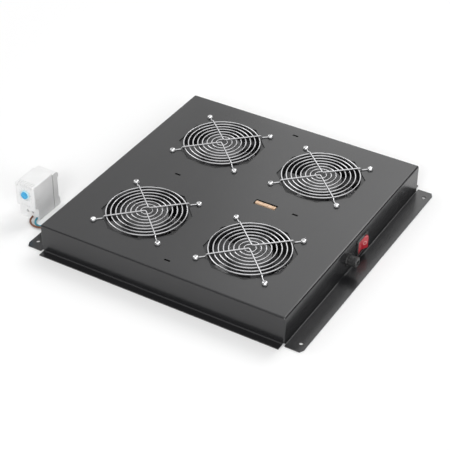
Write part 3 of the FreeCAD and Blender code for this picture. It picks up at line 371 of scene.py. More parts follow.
def turned(profile, segments, centre=(0, 0, 0), axis=(0, 0, 1), closed=False):
    shape = bmesh.new()
    axis = Vector(axis)
    out = axis.orthogonal().normalized()
    points = [shape.verts.new(out * radius + axis * along) for radius, along in profile]
    for first, second in zip(points, points[1:] + points[:1] if closed else points[1:]):
        shape.edges.new((first, second))
    bmesh.ops.spin(shape, geom=shape.verts[:] + shape.edges[:], cent=(0, 0, 0), axis=axis,
                   angle=2 * math.pi, steps=segments, use_merge=True)
    bmesh.ops.remove_doubles(shape, verts=shape.verts, dist=1e-6)
    bmesh.ops.recalc_face_normals(shape, faces=shape.faces)
    bmesh.ops.translate(shape, vec=centre, verts=shape.verts)
    return shape


def block(size, centre, edge=0.0, segments=3, edges=everyEdge):
    shape = bmesh.new()
    bmesh.ops.create_cube(shape, size=1)
    bmesh.ops.scale(shape, vec=size, verts=shape.verts)
    if edge:
        rounded(shape, edges, edge, segments)
    bmesh.ops.translate(shape, vec=centre, verts=shape.verts)
    return shape


def prism(sides, radius, depth, centre, turn=0.0, alongX=False):
    shape = bmesh.new()
    bmesh.ops.create_cone(shape, cap_ends=True, cap_tris=False, segments=sides, radius1=radius,
                          radius2=radius, depth=depth)
    bmesh.ops.rotate(shape, cent=(0, 0, 0), matrix=Matrix.Rotation(turn, 3, "Z"), verts=shape.verts)
    if alongX:
        bmesh.ops.rotate(shape, cent=(0, 0, 0), matrix=Matrix.Rotation(math.pi / 2, 3, "Y"),
                         verts=shape.verts)
    bmesh.ops.translate(shape, vec=centre, verts=shape.verts)
    return shape


def raised(shape, faces, along):
    grown = bmesh.ops.extrude_face_region(shape, geom=faces)
    moved = [item for item in grown["geom"] if isinstance(item, bmesh.types.BMVert)]
    bmesh.ops.translate(shape, vec=along, verts=moved)
    return moved


# a flat outline given its depth
def extruded(outline, along):
    shape = bmesh.new()
    shape.faces.new([shape.verts.new(corner) for corner in outline])
    raised(shape, shape.faces[:], along)
    bmesh.ops.recalc_face_normals(shape, faces=shape.faces)
    return shape


def rowOf(count, pitch):
    return [(number - (count - 1) / 2) * pitch for number in range(count)]


def meshOf(shape, name="part"):
    mesh = bpy.data.meshes.new(name)
    shape.to_mesh(mesh)
    shape.free()
    return mesh


def joined(*shapes):
    whole = bmesh.new()
    for shape in shapes:
        mesh = meshOf(shape)
        whole.from_mesh(mesh)
        bpy.data.meshes.remove(mesh)
    return whole


def copied(mesh, moves):
    whole = bmesh.new()
    for move in moves:
        before = len(whole.verts)
        whole.from_mesh(mesh)
        whole.verts.ensure_lookup_table()
        bmesh.ops.transform(whole, matrix=move, verts=whole.verts[before:])
    return whole


def carved(solid, tool, operation="DIFFERENCE"):
    base = place(bpy.data.objects.new("base", meshOf(solid)))
    other = place(bpy.data.objects.new("other", meshOf(tool)))
    cut = base.modifiers.new("cut", "BOOLEAN")
    cut.operation = operation
    cut.solver = "EXACT"
    cut.object = other
    result = bmesh.new()
    result.from_object(base, bpy.context.evaluated_depsgraph_get())
    for item in (base, other):
        mesh = item.data
        bpy.data.objects.remove(item)
        bpy.data.meshes.remove(mesh)
    return result


def tube(points, radius):
    data = bentRod("tube", points, radius, 6, 3)
    item = bpy.data.objects.new("tube", data)
    mesh = bpy.data.meshes.new_from_object(item)
    shape = bmesh.new()
    shape.from_mesh(mesh)
    bpy.data.objects.remove(item)
    bpy.data.curves.remove(data)
    bpy.data.meshes.remove(mesh)
    bmesh.ops.remove_doubles(shape, verts=shape.verts, dist=1e-6)
    bmesh.ops.recalc_face_normals(shape, faces=shape.faces)
    return shape


def piece(shape, name, coat, body, replaced=(), sharp=35):
    mesh = meshOf(shape, name)
    mesh.materials.append(finish[coat])
    mesh.shade_smooth()
    mesh.set_sharp_from_angle(angle=math.radians(sharp))
    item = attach(place(bpy.data.objects.new(name, mesh)), body)
    if replaced:
        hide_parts(*replaced)


def dress(node, coat):
    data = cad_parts[node].data
    data.materials.clear()
    data.materials.append(finish[coat])


def copyOfNode(node, weld=0.001 * mm):
    shape = bmesh.new()
    shape.from_mesh(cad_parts[node].data)
    bmesh.ops.remove_doubles(shape, verts=shape.verts, dist=weld)
    return shape


guard = {
    "rings": 8,
    "firstRadius": 8.1 * mm,
    "pitch": 6.88 * mm,
    "wire": 1.8 * mm,
    "wireSides": 10,
    "screwPitch": 105 * mm,
    "eye": 3.3 * mm,              # radius of the eye's centre line
    "vertices": (5 * mm, -2 * mm),  # where each pair of legs meets
    "stepIn": 58.5 * mm,
    "stepOut": 62.5 * mm,
    "stepBend": 1 * mm,
    "vertexBend": (5 * mm, 1.5 * mm),
    "ringLevel": 1.5,             # in wires above the sheet
    "legLevel": 2.5,
}


def guardLeg(vertex, side, up):
    half = guard["screwPitch"] / 2
    low, high = guard["wire"] / 2, guard["wire"] * guard["legLevel"]
    corner = Vector((side * half, up * half, 0))
    run = Vector((vertex, 0, 0)) - corner
    bend, (vertexStart, vertexEnd) = guard["stepBend"], guard["vertexBend"]
    stepStart, stepEnd = corner.length - guard["stepOut"], corner.length - guard["stepIn"]
    levels = [(guard["eye"], low), (stepStart - bend, low), (stepStart + bend, low), (stepEnd - bend, high),
              (stepEnd + 2 * bend, high), (run.length / 2, high), (run.length - vertexStart, high),
              (run.length - vertexEnd, high)]
    return [corner + run.normalized() * far + Vector((0, 0, level)) for far, level in levels]


def wireRing(ring, level, segments, centre=(0, 0, 0)):
    radius, sides = guard["wire"] / 2, guard["wireSides"]
    turns = [2 * math.pi * number / sides for number in range(sides)]
    section = [(ring + radius * math.cos(turn), level + radius * math.sin(turn)) for turn in turns]
    return turned(section, segments, centre, closed=True)


def addGuard(station):
    low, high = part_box("finger_guard_" + station)
    radius, half = guard["wire"] / 2, guard["screwPitch"] / 2
    level = guard["wire"] * guard["ringLevel"]
    shapes = [wireRing(guard["firstRadius"] + i * guard["pitch"], level, 48 + 8 * i)
              for i in range(guard["rings"])]
    for vertex, side in zip(guard["vertices"], (1, -1)):
        shapes.append(tube(guardLeg(vertex, side, 1) + guardLeg(vertex, side, -1)[::-1], radius))
    shapes += [wireRing(guard["eye"], radius, 24, (sx * half, sy * half, 0)) for sx, sy in corners]
    whole = joined(*shapes)
    bmesh.ops.translate(whole, vec=((low.x + high.x) / 2, (low.y + high.y) / 2, low.z), verts=whole.verts)
    piece(whole, "guardWire_" + station, "chrome", "tray", ["finger_guard_" + station])


for station in stations:
    addGuard(station)
print("finger guards bent")


screw = {
    "head": 4.0 * mm,
    "height": 2.4 * mm,
    "crown": [(0, 1), (0.45, 0.97), (0.72, 0.84), (0.9, 0.6), (1, 0.3), (1, 0.08), (0.95, 0)],
    "shank": 2.0 * mm,
    "length": 12 * mm,
    "tip": 0.4 * mm,
    "recess": 1.2 * mm,           # width of the cross
    "recessSpan": 1.15,           # in head radii
    "recessLevel": 1.35,          # in head heights
    "turns": (0.7, 1.1),          # how far each head is turned on, by station and by corner
}


def screwMesh():
    head, height, shank, length = screw["head"], screw["height"], screw["shank"], screw["length"]
    profile = [(out * head, up * height) for out, up in screw["crown"]]
    profile += [(shank, 0), (shank, screw["tip"] - length), (shank - screw["tip"], -length), (0, -length)]
    span, width, level = screw["recessSpan"] * head, screw["recess"], screw["recessLevel"] * height
    cross = carved(block((span, width, 2 * height), (0, 0, level)),
                   block((width, span, 2 * height), (0, 0, level)), "UNION")
    return meshOf(carved(turned(profile, 32), cross), "screw")


def addScrews():
    mesh = screwMesh()
    half = guard["screwPitch"] / 2
    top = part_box("fan_screws")[1].z - screw["height"]
    byStation, byCorner = screw["turns"]
    moves = []
    for number, station in enumerate(stations):
        low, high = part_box("fan_frame_" + station)
        centre = (low + high) / 2
        for turn, (sx, sy) in enumerate(corners):
            spot = Matrix.Translation((centre.x + sx * half, centre.y + sy * half, top))
            moves.append(spot @ Matrix.Rotation(byStation * number + byCorner * turn, 4, "Z"))
    piece(copied(mesh, moves), "guardScrews", "plated", "tray", ["fan_screws"])
    bpy.data.meshes.remove(mesh)


addScrews()
dress("fan_nuts", "plated")
print("guard screws driven")


fan = {
    "size": 120 * mm,
    "depth": 38 * mm,
    "corner": 6 * mm,
    "lug": 4.5 * mm,
    "duct": 119 * mm,
    "bore": 115 * mm,
    "base": 32 * mm,              # radius of the motor base
    "baseThickness": 3.5 * mm,
    "basePad": 6 * mm,            # flat pad, from the edge of the base
    "baseStep": 0.8 * mm,
    "baseEdge": (1 * mm, 1.4 * mm),
    "strut": 6 * mm,
    "strutSunk": 0.5 * mm,
    "screwHole": 4.5 * mm,
    "hub": 31 * mm,               # radius
    "hubTop": 35.5 * mm,          # above the frame's foot
    "hubFoot": 4.5 * mm,
    "hubWall": 2.5 * mm,
    "hubRound": [(2.4, 0), (1.2, 0.4), (0.3, 1.3), (0, 2.4)],
    "shaft": 2.5 * mm,
    "clearance": 0.3 * mm,
    "bladeMiddle": 18.5 * mm,
    "bladeTip": 56 * mm,
    "bladeSunk": 0.8 * mm,
    "rootHalf": 17 * mm,
    "tipHalf": 26 * mm,
    "tipRound": 0.12,
    "slope": 0.4,
    "camber": 0.11,
    "bladeThickness": 2.0 * mm,
    "blades": 5,
    "angles": {"front_left": 23, "front_right": 41, "rear_left": 8, "rear_right": 57},
}


def frameMesh():
    depth, lug = fan["depth"], fan["lug"]
    solid = prism(8, fan["duct"] / 2 / math.cos(math.pi / 8), depth, (0, 0, depth / 2), math.pi / 8)
    for level in (lug / 2, depth - lug / 2):
        plate = block((fan["size"], fan["size"], lug), (0, 0, level), fan["corner"], 4, upright)
        solid = carved(solid, plate, "UNION")
    solid = carved(solid, prism(96, fan["bore"] / 2, 2 * depth, (0, 0, depth / 2)))
    half = guard["screwPitch"] / 2
    solid = carved(solid, joined(*[prism(20, fan["screwHole"] / 2, 3 * depth, (sx * half, sy * half, 0))
                                   for sx, sy in corners]))
    thick, base, step = fan["baseThickness"], fan["base"], fan["baseStep"]
    pad, (inset, rise) = base - fan["basePad"], fan["baseEdge"]
    motorBase = turned([(0, 0), (pad, 0), (pad + inset, step), (base - inset, step), (base, rise),
                        (base, thick), (0, thick)], 64)
    reach = fan["bore"] + 2 * fan["strutSunk"]
    for size in ((reach, fan["strut"], thick), (fan["strut"], reach, thick)):
        motorBase = carved(motorBase, block(size, (0, 0, thick / 2)), "UNION")
    return meshOf(carved(solid, motorBase, "UNION"), "frame")


def bladeShape():
    shape = bmesh.new()
    bmesh.ops.create_grid(shape, x_segments=10, y_segments=14, size=1)
    root = fan["hub"] - fan["bladeSunk"]
    for point in shape.verts:
        out, along = (point.co.x + 1) / 2, point.co.y
        radius = root + out * (fan["bladeTip"] - root)
        half = fan["rootHalf"] + out * (fan["tipHalf"] - fan["rootHalf"])
        turn = along * half / radius * (1 - fan["tipRound"] * out * abs(along) ** 6)
        level = fan["bladeMiddle"] + ((1 - along ** 2) * fan["camber"] - along * fan["slope"]) * half
        point.co = (radius * math.cos(turn), radius * math.sin(turn), level)
    bmesh.ops.recalc_face_normals(shape, faces=shape.faces)
    bmesh.ops.solidify(shape, geom=shape.faces[:], thickness=fan["bladeThickness"])
    bmesh.ops.recalc_face_normals(shape, faces=shape.faces)
    return shape


def impellerMesh():
    hub, top, foot, inside = fan["hub"], fan["hubTop"], fan["hubFoot"], fan["hub"] - fan["hubWall"]
    ceiling, end = top - fan["hubWall"], fan["baseThickness"] + fan["clearance"]
    rim = [(hub - inwards * mm, top - down * mm) for inwards, down in fan["hubRound"]]
    cup = turned([(0, top)] + rim + [(hub, foot), (inside, foot), (inside, ceiling), (fan["shaft"], ceiling),
                                     (fan["shaft"], end), (0, end)], 96)
    blade = meshOf(bladeShape())
    turns = [2 * math.pi * i / fan["blades"] for i in range(fan["blades"])]
    vanes = copied(blade, [Matrix.Rotation(turn, 4, "Z") for turn in turns])
    bpy.data.meshes.remove(blade)
    return meshOf(joined(cup, vanes), "impeller")


def addFans():
    housing, rotor = frameMesh(), impellerMesh()
    for station in stations:
        low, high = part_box("fan_frame_" + station)
        spot = Matrix.Translation(((low.x + high.x) / 2, (low.y + high.y) / 2, low.z))
        turn = Matrix.Rotation(math.radians(fan["angles"][station]), 4, "Z")
        piece(copied(housing, [spot]), "fanFrame_" + station, "cast", "tray",
              ["fan_frame_" + station, "motor_base_" + station])
        piece(copied(rotor, [spot @ turn]), "fanImpeller_" + station, "blade", "impeller_" + station,
              ["impeller_" + station])
    bpy.data.meshes.remove(housing)
    bpy.data.meshes.remove(rotor)
    dress("fan_stators", "winding")


addFans()
print("fans built")


trayNodes = ["tray_top", "tray_front", "tray_rear", "tray_left", "tray_right"]


def addTray():
    sheet = copyOfNode(trayNodes[0])
    for node in trayNodes[1:]:
        sheet = carved(sheet, copyOfNode(node), "UNION")
    bmesh.ops.remove_doubles(sheet, verts=sheet.verts, dist=0.001 * mm)
    piece(sheet, "foldedTray", "powder", "tray", trayNodes, 25)


addTray()
print("tray folded")


grommet = {"bore": 3.3 * mm, "rim": 7 * mm, "groove": 4.95 * mm, "rimDepth": 1.6 * mm, "edge": 0.6 * mm}


def addGrommets():
    low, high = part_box("wall_grommets")
    bore, rim, groove, edge = grommet["bore"], grommet["rim"], grommet["groove"], grommet["edge"]
    depth, reach, level = high.y - low.y, high.x - rim, (low.z + high.z) / 2
    near, far = grommet["rimDepth"], depth - grommet["rimDepth"]
    profile = [(bore, edge), (bore + edge, 0), (rim - edge, 0), (rim, edge), (rim, near), (groove, near),
               (groove, far), (rim, far), (rim, depth - edge), (rim - edge, depth), (bore + edge, depth),
               (bore, depth - edge)]
    pair = [turned(profile, 48, (side * reach, low.y, level), (0, 1, 0), True) for side in (-1, 1)]
    piece(joined(*pair), "leadGrommets", "rubber", "tray", ["wall_grommets"])


addGrommets()


terminals = {
    "ridge": (5.1 * mm, 31.2 * mm),
    "ridgeShift": 0.35 * mm,
    "step": 5 * mm,
    "grooves": 4,
    "groovePitch": 8 * mm,
    "groove": (0.8 * mm, 0.6 * mm),
}


def addTerminals():
    low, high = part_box("terminal_block")
    centre, size = (low + high) / 2, high - low
    wide, long = terminals["ridge"]
    moulding = copyOfNode("terminal_block")
    east = centre.x + terminals["ridgeShift"]
    for side in (1, -1):
        moulding = carved(moulding, block((size.x, 2 * size.y, 2 * terminals["step"]),
                                          (east + side * (wide + size.x) / 2, centre.y, high.z)))
    for side in (1, -1):
        moulding = carved(moulding, block((2 * size.x, size.y, 2 * terminals["step"]),
                                          (east, centre.y + side * (long + size.y) / 2, high.z)))
    width, depth = terminals["groove"]
    grooves = [block((2 * wide, width, 2 * depth), (east, centre.y + y, high.z))
               for y in rowOf(terminals["grooves"], terminals["groovePitch"])]
    piece(carved(moulding, joined(*grooves)), "terminalBlock", "beige", "tray",
          ["terminal_block"], 30)


dressed = {
    "plated": ["terminal_block_screws", "switch_tabs", "fuse_holder_tabs", "fuse_carrier",
               "thermostat_terminal_screws"],
    "black": ["fuse_holder_nut"],
    "glass": ["fuse_link"],
    "blackWire": ["fan_leads", "switch_lead", "fuse_lead", "thermostat_inner_lead"],
}

addTerminals()
for coat, nodes in dressed.items():
    for node in nodes:
        dress(node, coat)
print("grommets fitted, terminal block and leads dressed")


switch = {
    "bezel": (30.6 * mm, 25.2 * mm),
    "bezelDepth": 2 * mm,
    "bezelEdge": 0.5 * mm,
    "corner": 1.6 * mm,
    "case": (28 * mm, 21.6 * mm, 20 * mm),
    "overlap": 0.1 * mm,
    "opening": (25.2 * mm, 20.4 * mm),
    "well": 10 * mm,
    "rockerHeight": 19.6 * mm,
    "rockerPlan": [(-12.2, -2), (-10.9, -7), (0, -3.8), (10.9, -7), (12.2, -2), (6, 3), (-6, 3)],
    "rockerEdge": 0.7 * mm,
    "pivotDepth": 3 * mm,         # behind the face of the wall
    "tilt": -11,
    "markSpot": (5.45 * mm, -5.4 * mm),
    "markLean": 16.4,             # slope of each half of the rocker, in degrees
    "ring": 2.6 * mm,
    "line": 0.28 * mm,
}


def switchCase(x, wall, z):
    wide, tall = switch["bezel"]
    deep = switch["bezelDepth"]
    bezel = block((wide, deep, tall), (0, 0, 0))
    rounded(bezel, lambda edge: alongAxis(edge, 1), switch["corner"], 4)
    rounded(bezel, lambda edge: all(point.co.y < 0 for point in edge.verts), switch["bezelEdge"], 3)
    bmesh.ops.translate(bezel, vec=(x, wall - deep / 2, z), verts=bezel.verts)
    width, height, depth = switch["case"]
    case = carved(bezel, block((width, depth, height), (x, wall + depth / 2 - switch["overlap"], z)), "UNION")
    (wide, tall), well = switch["opening"], switch["well"]
    return carved(case, block((wide, well + 2 * deep, tall), (x, wall + well / 2 - deep, z)))


def rockerMarks(seat):
    line, radius = switch["line"], switch["ring"]
    ring = turned([(radius - line, -line / 2), (radius + line, -line / 2), (radius + line, line / 2),
                   (radius - line, line / 2)], 48, (0, 0, 0), (0, 1, 0), True)
    bar = block((2 * line, line, 2 * radius), (0, 0, 0))
    east, north = switch["markSpot"]
    for shape, side in ((ring, 1), (bar, -1)):
        lean = Matrix.Rotation(math.radians(-side * switch["markLean"]), 4, "Z")
        bmesh.ops.transform(shape, matrix=seat @ Matrix.Translation((side * east, north, 0)) @ lean,
                            verts=shape.verts)
    return joined(ring, bar)


def addSwitch():
    low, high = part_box("switch_housing")
    x, wall, z = (low.x + high.x) / 2, low.y + switch["bezelDepth"], (low.z + high.z) / 2
    piece(switchCase(x, wall, z), "switchCase", "black", "tray", ["switch_housing"])

    height = switch["rockerHeight"]
    outline = [(east * mm, north * mm, -height / 2) for east, north in switch["rockerPlan"]]
    rocker = rounded(extruded(outline, (0, 0, height)), everyEdge, switch["rockerEdge"], 3)
    pivot = Matrix.Translation((x, wall + switch["pivotDepth"], z))
    seat = pivot @ Matrix.Rotation(math.radians(switch["tilt"]), 4, "Z")
    bmesh.ops.transform(rocker, matrix=seat, verts=rocker.verts)
    piece(rocker, "switchRocker", "red", "rocker", ["switch_rocker"], 30)
    piece(rockerMarks(seat), "rockerMarks", "mark", "rocker")


addSwitch()
print("switch fitted")


fuse = {
    "rim": 9.3 * mm,
    "rimDepth": 2 * mm,
    "rimEdge": 0.9 * mm,
    "barrel": 6 * mm,
    "bore": 5.2 * mm,
    "boreDepth": 27 * mm,
    "cap": 7.4 * mm,
    "capLength": 12.2 * mm,
    "ribs": 24,
    "groove": 0.45 * mm,
    "capEdge": 1.0 * mm,
    "shoulders": [(0.6, 0.95), (0.4, 0.88)],  # rise in cap edges, then scale
    "recess": (3.4 * mm, 1 * mm),  # radius and depth
    "slot": (1.2 * mm, 2 * mm),   # width and depth
    "spigot": 5.1 * mm,
    "socket": 3.7 * mm,
    "overlap": 0.05 * mm,
}


def knurledCap():
    shape = bmesh.new()
    steps, length = 4 * fuse["ribs"], fuse["capLength"]
    bmesh.ops.create_circle(shape, cap_ends=True, segments=steps, radius=fuse["cap"])
    for point in shape.verts:
        if round(math.atan2(point.co.y, point.co.x) / (2 * math.pi) * steps) % 4 == 0:
            point.co *= 1 - fuse["groove"] / fuse["cap"]
    edge = fuse["capEdge"]
    for rise, scale in [(length - edge, 1)] + [(up * edge, scale) for up, scale in fuse["shoulders"]]:
        top = max(shape.faces, key=lambda face: face.calc_center_median().z)
        bmesh.ops.scale(shape, vec=(scale, scale, 1), verts=raised(shape, [top], (0, 0, rise)))
    bmesh.ops.recalc_face_normals(shape, faces=shape.faces)
    (radius, sunk), (width, depth) = fuse["recess"], fuse["slot"]
    shape = carved(shape, prism(48, radius, 2 * sunk, (0, 0, length)))
    return carved(shape, block((2 * fuse["cap"], width, 2 * depth), (0, 0, length)))


def addFuse():
    low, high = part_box("fuse_holder")
    x, wall, z = (low.x + high.x) / 2, low.y + fuse["rimDepth"], (low.z + high.z) / 2
    rim, barrel, bore, length = fuse["rim"], fuse["barrel"], fuse["bore"], high.y - wall
    face, edge = -fuse["rimDepth"], fuse["rimEdge"]
    profile = [(0, fuse["boreDepth"]), (bore, fuse["boreDepth"]), (bore, face), (rim - edge, face),
               (rim, face + edge), (rim, 0), (barrel, 0), (barrel, length), (0, length)]
    piece(turned(profile, 72, (x, wall, z), (0, 1, 0)), "fuseHolder", "black", "tray",
          ["fuse_holder"])
    low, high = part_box("fuse_cap")
    cap, foot = knurledCap(), low.y + fuse["capLength"]
    bmesh.ops.rotate(cap, cent=(0, 0, 0), matrix=Matrix.Rotation(math.pi / 2, 3, "X"), verts=cap.verts)
    bmesh.ops.translate(cap, vec=(x, foot, z), verts=cap.verts)
    inner, outer, reach = fuse["socket"], fuse["spigot"], high.y - foot
    sleeve = turned([(inner, 0), (outer, 0), (outer, reach), (inner, reach)], 48,
                    (x, foot - fuse["overlap"], z), (0, 1, 0), True)
    piece(joined(cap, sleeve), "fuseCap", "black", "fuse_cap", ["fuse_cap"])


addFuse()
print("fuse holder fitted")


thermostat = {
    "edge": 1.5 * mm,
    "recess": 7 * mm,
    "recessTop": 23 * mm,
    "recessRound": 5.5 * mm,
    "well": 9 * mm,
    "wellDepth": 1.5 * mm,
    "dialLevel": 43 * mm,
    "holes": {"radius": 2 * mm, "depth": 9 * mm, "offset": -1 * mm, "pitch": 9.2 * mm,
              "level": 10.5 * mm},
    "entries": {"radius": 1.7 * mm, "depth": 8 * mm, "offset": -8.2 * mm, "pitch": 7.8 * mm,
                "level": 3.4 * mm},
    "ventPitch": 3.9 * mm,
    "ventWidth": 1.5 * mm,
    "ventLength": 9 * mm,
    "ventDrop": 5 * mm,
    "ventDepth": 1.3 * mm,
    "sideInset": 2 * mm,
    "sideLevel": 25 * mm,
    "sidePitch": 2.9 * mm,
    "sideWidth": 1.1 * mm,
    "slitPitch": 3.2 * mm,
    "slitLevel": 25.6 * mm,
    "slit": (1.6 * mm, 1.1 * mm, 3.4 * mm),
    "grooveInset": 5.5 * mm,
    "grooveLevel": 38 * mm,
    "groove": (0.8 * mm, 0.5 * mm, 22 * mm),
}


def addHousing():
    low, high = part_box("thermostat_housing")
    face, middleY, top, size = low.x, (low.y + high.y) / 2, high.z, high - low
    recess, under = thermostat["recess"], thermostat["recessTop"]
    notch = block((2 * recess, 2 * size.y, 2 * under), (0, 0, 0), thermostat["recessRound"], 8,
                  lambda edge: all(point.co.x > 0 and point.co.z > 0 for point in edge.verts))
    bmesh.ops.translate(notch, vec=(face, middleY, low.z), verts=notch.verts)
    well = prism(64, thermostat["well"], 2 * thermostat["wellDepth"],
                 (face, middleY, thermostat["dialLevel"]), alongX=True)
    holes = [prism(24, row["radius"], 2 * row["depth"],
                   (face + recess, middleY + row["offset"] + y, row["level"]), alongX=True)
             for row in (thermostat["holes"], thermostat["entries"]) for y in rowOf(2, row["pitch"])]
    width, length, depth = thermostat["ventWidth"], thermostat["ventLength"], thermostat["ventDepth"]
    vents = rowOf(7, thermostat["ventPitch"])
    topVents = [block((2 * length, width, 2 * depth), (face, middleY + y, top)) for y in vents]
    drop = 2 * thermostat["ventDrop"]
    frontVents = [block((2 * depth, width, drop), (face, middleY + y, top)) for y in vents]
    sideVents = [block((length, 2 * depth, thermostat["sideWidth"]),
                       (face + thermostat["sideInset"] + length / 2, low.y,
                        thermostat["sideLevel"] + i * thermostat["sidePitch"])) for i in range(5)]
    slits = [block(thermostat["slit"], (face, middleY + y, thermostat["slitLevel"]))
             for y in rowOf(5, thermostat["slitPitch"])]
    slits.append(block(thermostat["groove"],
                       (face, low.y + thermostat["grooveInset"], thermostat["grooveLevel"])))
    case = block(size, (low + high) / 2, thermostat["edge"], 3)
    for tools in ([notch], [well], holes, topVents, frontVents, sideVents, slits):
        case = carved(case, joined(*tools))
    piece(case, "thermostatCase", "grey", "tray", ["thermostat_housing"], 30)


clip = {
    "railLevel": 30 * mm,
    "slot": 35.4 * mm,
    "lip": 2.5 * mm,
    "round": 6 * mm,
    "gap": 1.6 * mm,
    "ribs": (6 * mm, 49 * mm),
    "rib": 3.5 * mm,
    "ribInset": 2 * mm,
    "ribSunk": 0.2 * mm,
}


def addClip():
    low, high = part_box("thermostat_rail_clip")
    start, end, top = low.x + clip["gap"], high.x, high.z
    lower, upper = clip["railLevel"] - clip["slot"] / 2, clip["railLevel"] + clip["slot"] / 2
    lip, width = end - clip["lip"], high.y - low.y
    outline = [(start, 0), (end, 0), (end, lower), (lip, lower), (lip, upper), (end, upper), (end, top),
               (start, top)]
    plate = extruded([(x, low.y, z) for x, z in outline], (0, width, 0))
    rounded(plate, lambda edge: all(point.co.x > end - 1e-6 and point.co.z > top - 1e-6
                                    for point in edge.verts), clip["round"], 6)
    reach = clip["gap"] + clip["ribSunk"]
    for level in clip["ribs"]:
        rib = block((reach, width - 2 * clip["ribInset"], clip["rib"]),
                    (low.x + reach / 2, (low.y + high.y) / 2, level))
        plate = carved(plate, rib, "UNION")
    piece(plate, "thermostatClip", "grey", "tray", ["thermostat_rail_clip"], 30)


dial = {
    "skirt": 6.7 * mm,
    "skirtRise": 0.6 * mm,
    "skirtEdge": 0.5 * mm,
    "float": 0.2 * mm,
    "knob": 5.3 * mm,
    "knobSunk": 0.4 * mm,
    "knobRound": [(0, 0.7), (0.25, 0.25), (0.8, 0)],
    "knobDish": [(0.55, 0.15), (0.25, 0.35), (0, 0.4)],
    "slot": (1.6 * mm, 1.2 * mm),
    "slotSpan": 1.7,              # in knob radii
    "ticks": 11,
    "sweep": 270,
    "tickIn": 9.7 * mm,
    "tickOut": 11.0 * mm,
    "tickWidth": 0.55 * mm,
    "tickRise": 0.12 * mm,
}


def dialMarks(centre):
    marks, sweep = [], math.radians(dial["sweep"])
    inner, outer = dial["tickIn"], dial["tickOut"]
    for i in range(dial["ticks"]):
        tick = block((2 * dial["tickRise"], dial["tickWidth"], outer - inner), (0, 0, (outer + inner) / 2))
        turn = Matrix.Rotation(sweep * (i / (dial["ticks"] - 1) - 0.5), 3, "X")
        bmesh.ops.rotate(tick, cent=(0, 0, 0), matrix=turn, verts=tick.verts)
        bmesh.ops.translate(tick, vec=centre, verts=tick.verts)
        marks.append(tick)
    return joined(*marks)


def addDial():
    low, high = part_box("thermostat_dial")
    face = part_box("thermostat_housing")[0].x
    y, z = (low.y + high.y) / 2, (low.z + high.z) / 2
    skirtTop = face - dial["skirtRise"]
    foot = thermostat["wellDepth"] + dial["skirtRise"] - dial["float"]
    radius, edge = dial["skirt"], dial["skirtEdge"]
    skirt = turned([(0, -foot), (radius, -foot), (radius, -edge), (radius - edge, 0), (0, 0)], 64,
                   (skirtTop, y, z), (-1, 0, 0))
    piece(skirt, "dialSkirt", "halo", "dial")
    radius, rise = dial["knob"], skirtTop - low.x
    profile = [(0, -dial["knobSunk"]), (radius, -dial["knobSunk"])]
    profile += [(radius - inwards * mm, rise - down * mm) for inwards, down in dial["knobRound"]]
    profile += [(share * radius, rise - down * mm) for share, down in dial["knobDish"]]
    depth, width = dial["slot"]
    knob = carved(turned(profile, 64, (skirtTop, y, z), (-1, 0, 0)),
                  block((depth, width, dial["slotSpan"] * radius), (low.x, y, z)))
    piece(knob, "dialKnob", "blue", "dial", ["thermostat_dial"])
    piece(dialMarks((face, y, z)), "dialScale", "print", "tray")


addHousing()
addClip()
addDial()
print("thermostat built")


studio = {
    "floor": 6.0,
    "floorColour": (0.93, 0.93, 0.93),
    "floorSeen": (0.9, 0.9, 0.9),  # the camera's share, so that the shadow stays
    "shadowReach": (0.42, 0.9),   # from here outwards the floor turns into the white background
    "surround": 0.50,
    "flags": [                    # dark cards, seen only in gloss, each towards its place in the sky
        (0.69, -0.60, 0.41),
        (-0.52, 0.66, 0.55),
    ],
    "flagInner": 0.96,
    "flagOuter": 0.84,
    "flagLevel": 0.06,
    "lamps": [                    # place, size, watts
        ((-2.10, -0.36, 1.49), 0.9, 21),
        ((-0.2, 1.9, 1.7), 1.2, 10),
        ((-1.2, -2.0, 1.35), 1.4, 21),
        ((1.743, 0.214, 1.275), 1.5, 5.4),
        ((1.456, -0.258, 1.762), 1.0, 14),
    ],
}


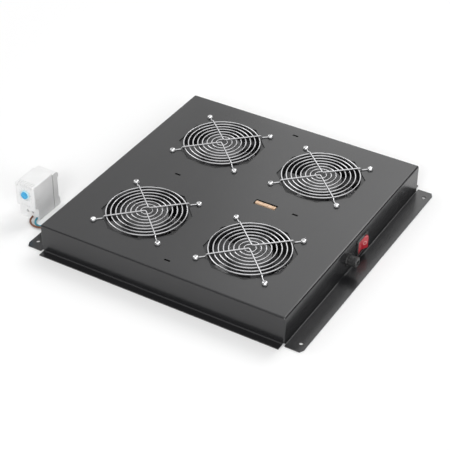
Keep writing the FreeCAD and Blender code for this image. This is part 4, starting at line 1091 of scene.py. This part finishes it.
def floorFinish():
    sheet = paint("paleFloor", studio["floorColour"], Roughness=0.7)
    rays = addNode(sheet, "ShaderNodeLightPath").outputs
    tint = addNode(sheet, "ShaderNodeMixRGB", Color1=(*studio["floorColour"], 1),
                   Color2=(*studio["floorSeen"], 1))
    wire(sheet, rays["Is Camera Ray"], tint.inputs["Fac"])
    wire(sheet, tint.outputs["Color"], shaderOf(sheet).inputs["Base Color"])
    spot = addNode(sheet, "ShaderNodeTexCoord")
    reach = addNode(sheet, "ShaderNodeVectorMath")
    reach.operation = "LENGTH"
    wire(sheet, spot.outputs["Object"], reach.inputs[0])
    outside = smoothRange(sheet, reach.outputs["Value"], *studio["shadowReach"])
    glow = addNode(sheet, "ShaderNodeEmission")
    blend = addNode(sheet, "ShaderNodeMixShader")
    wire(sheet, maths(sheet, "MULTIPLY", seenRays(sheet, rays), outside), blend.inputs["Fac"])
    wire(sheet, shaderOf(sheet).outputs[0], blend.inputs[1])
    wire(sheet, glow.outputs[0], blend.inputs[2])
    wire(sheet, blend.outputs[0], sheet.node_tree.nodes["Material Output"].inputs["Surface"])
    return sheet


def addFloor():
    shape = bmesh.new()
    bmesh.ops.create_grid(shape, x_segments=1, y_segments=1, size=studio["floor"] / 2)
    bmesh.ops.translate(shape, vec=(0, 0, -0.2 * mm), verts=shape.verts)
    mesh = meshOf(shape, "floor")
    mesh.materials.append(floorFinish())
    place(bpy.data.objects.new("floor", mesh))


def addWorld():
    world = bpy.data.worlds.new("studio")
    bpy.context.scene.world = world
    world.use_nodes = True
    back = world.node_tree.nodes["Background"]
    back.inputs["Color"].default_value = (1, 1, 1, 1)
    rays = addNode(world, "ShaderNodeLightPath").outputs
    spot = addNode(world, "ShaderNodeTexCoord")
    towards = []
    for flag in studio["flags"]:
        share = addNode(world, "ShaderNodeVectorMath")
        share.operation = "DOT_PRODUCT"
        share.inputs[1].default_value = Vector(flag).normalized()
        wire(world, spot.outputs["Generated"], share.inputs[0])
        towards.append(share.outputs["Value"])
    nearest = maths(world, "MAXIMUM", *towards)
    card = smoothRange(world, nearest, studio["flagOuter"], studio["flagInner"])
    bright = addNode(world, "ShaderNodeMapRange", To_Min=1.0, To_Max=studio["flagLevel"])
    wire(world, maths(world, "MULTIPLY", card, rays["Is Glossy Ray"]), bright.inputs["Value"])
    level = addNode(world, "ShaderNodeMapRange", To_Min=studio["surround"])
    wire(world, seenRays(world, rays), level.inputs["Value"])
    wire(world, bright.outputs["Result"], level.inputs["To Max"])
    wire(world, level.outputs["Result"], back.inputs["Strength"])


def addLamps():
    for number, (spot, size, power) in enumerate(studio["lamps"]):
        data = bpy.data.lights.new("softbox%d" % number, "AREA")
        data.size, data.energy = size, power
        lamp = place(bpy.data.objects.new("softbox%d" % number, data))
        lamp.location = spot
        aimed(lamp, -Vector(spot))


addFloor()
addWorld()
addLamps()
print("studio lit")
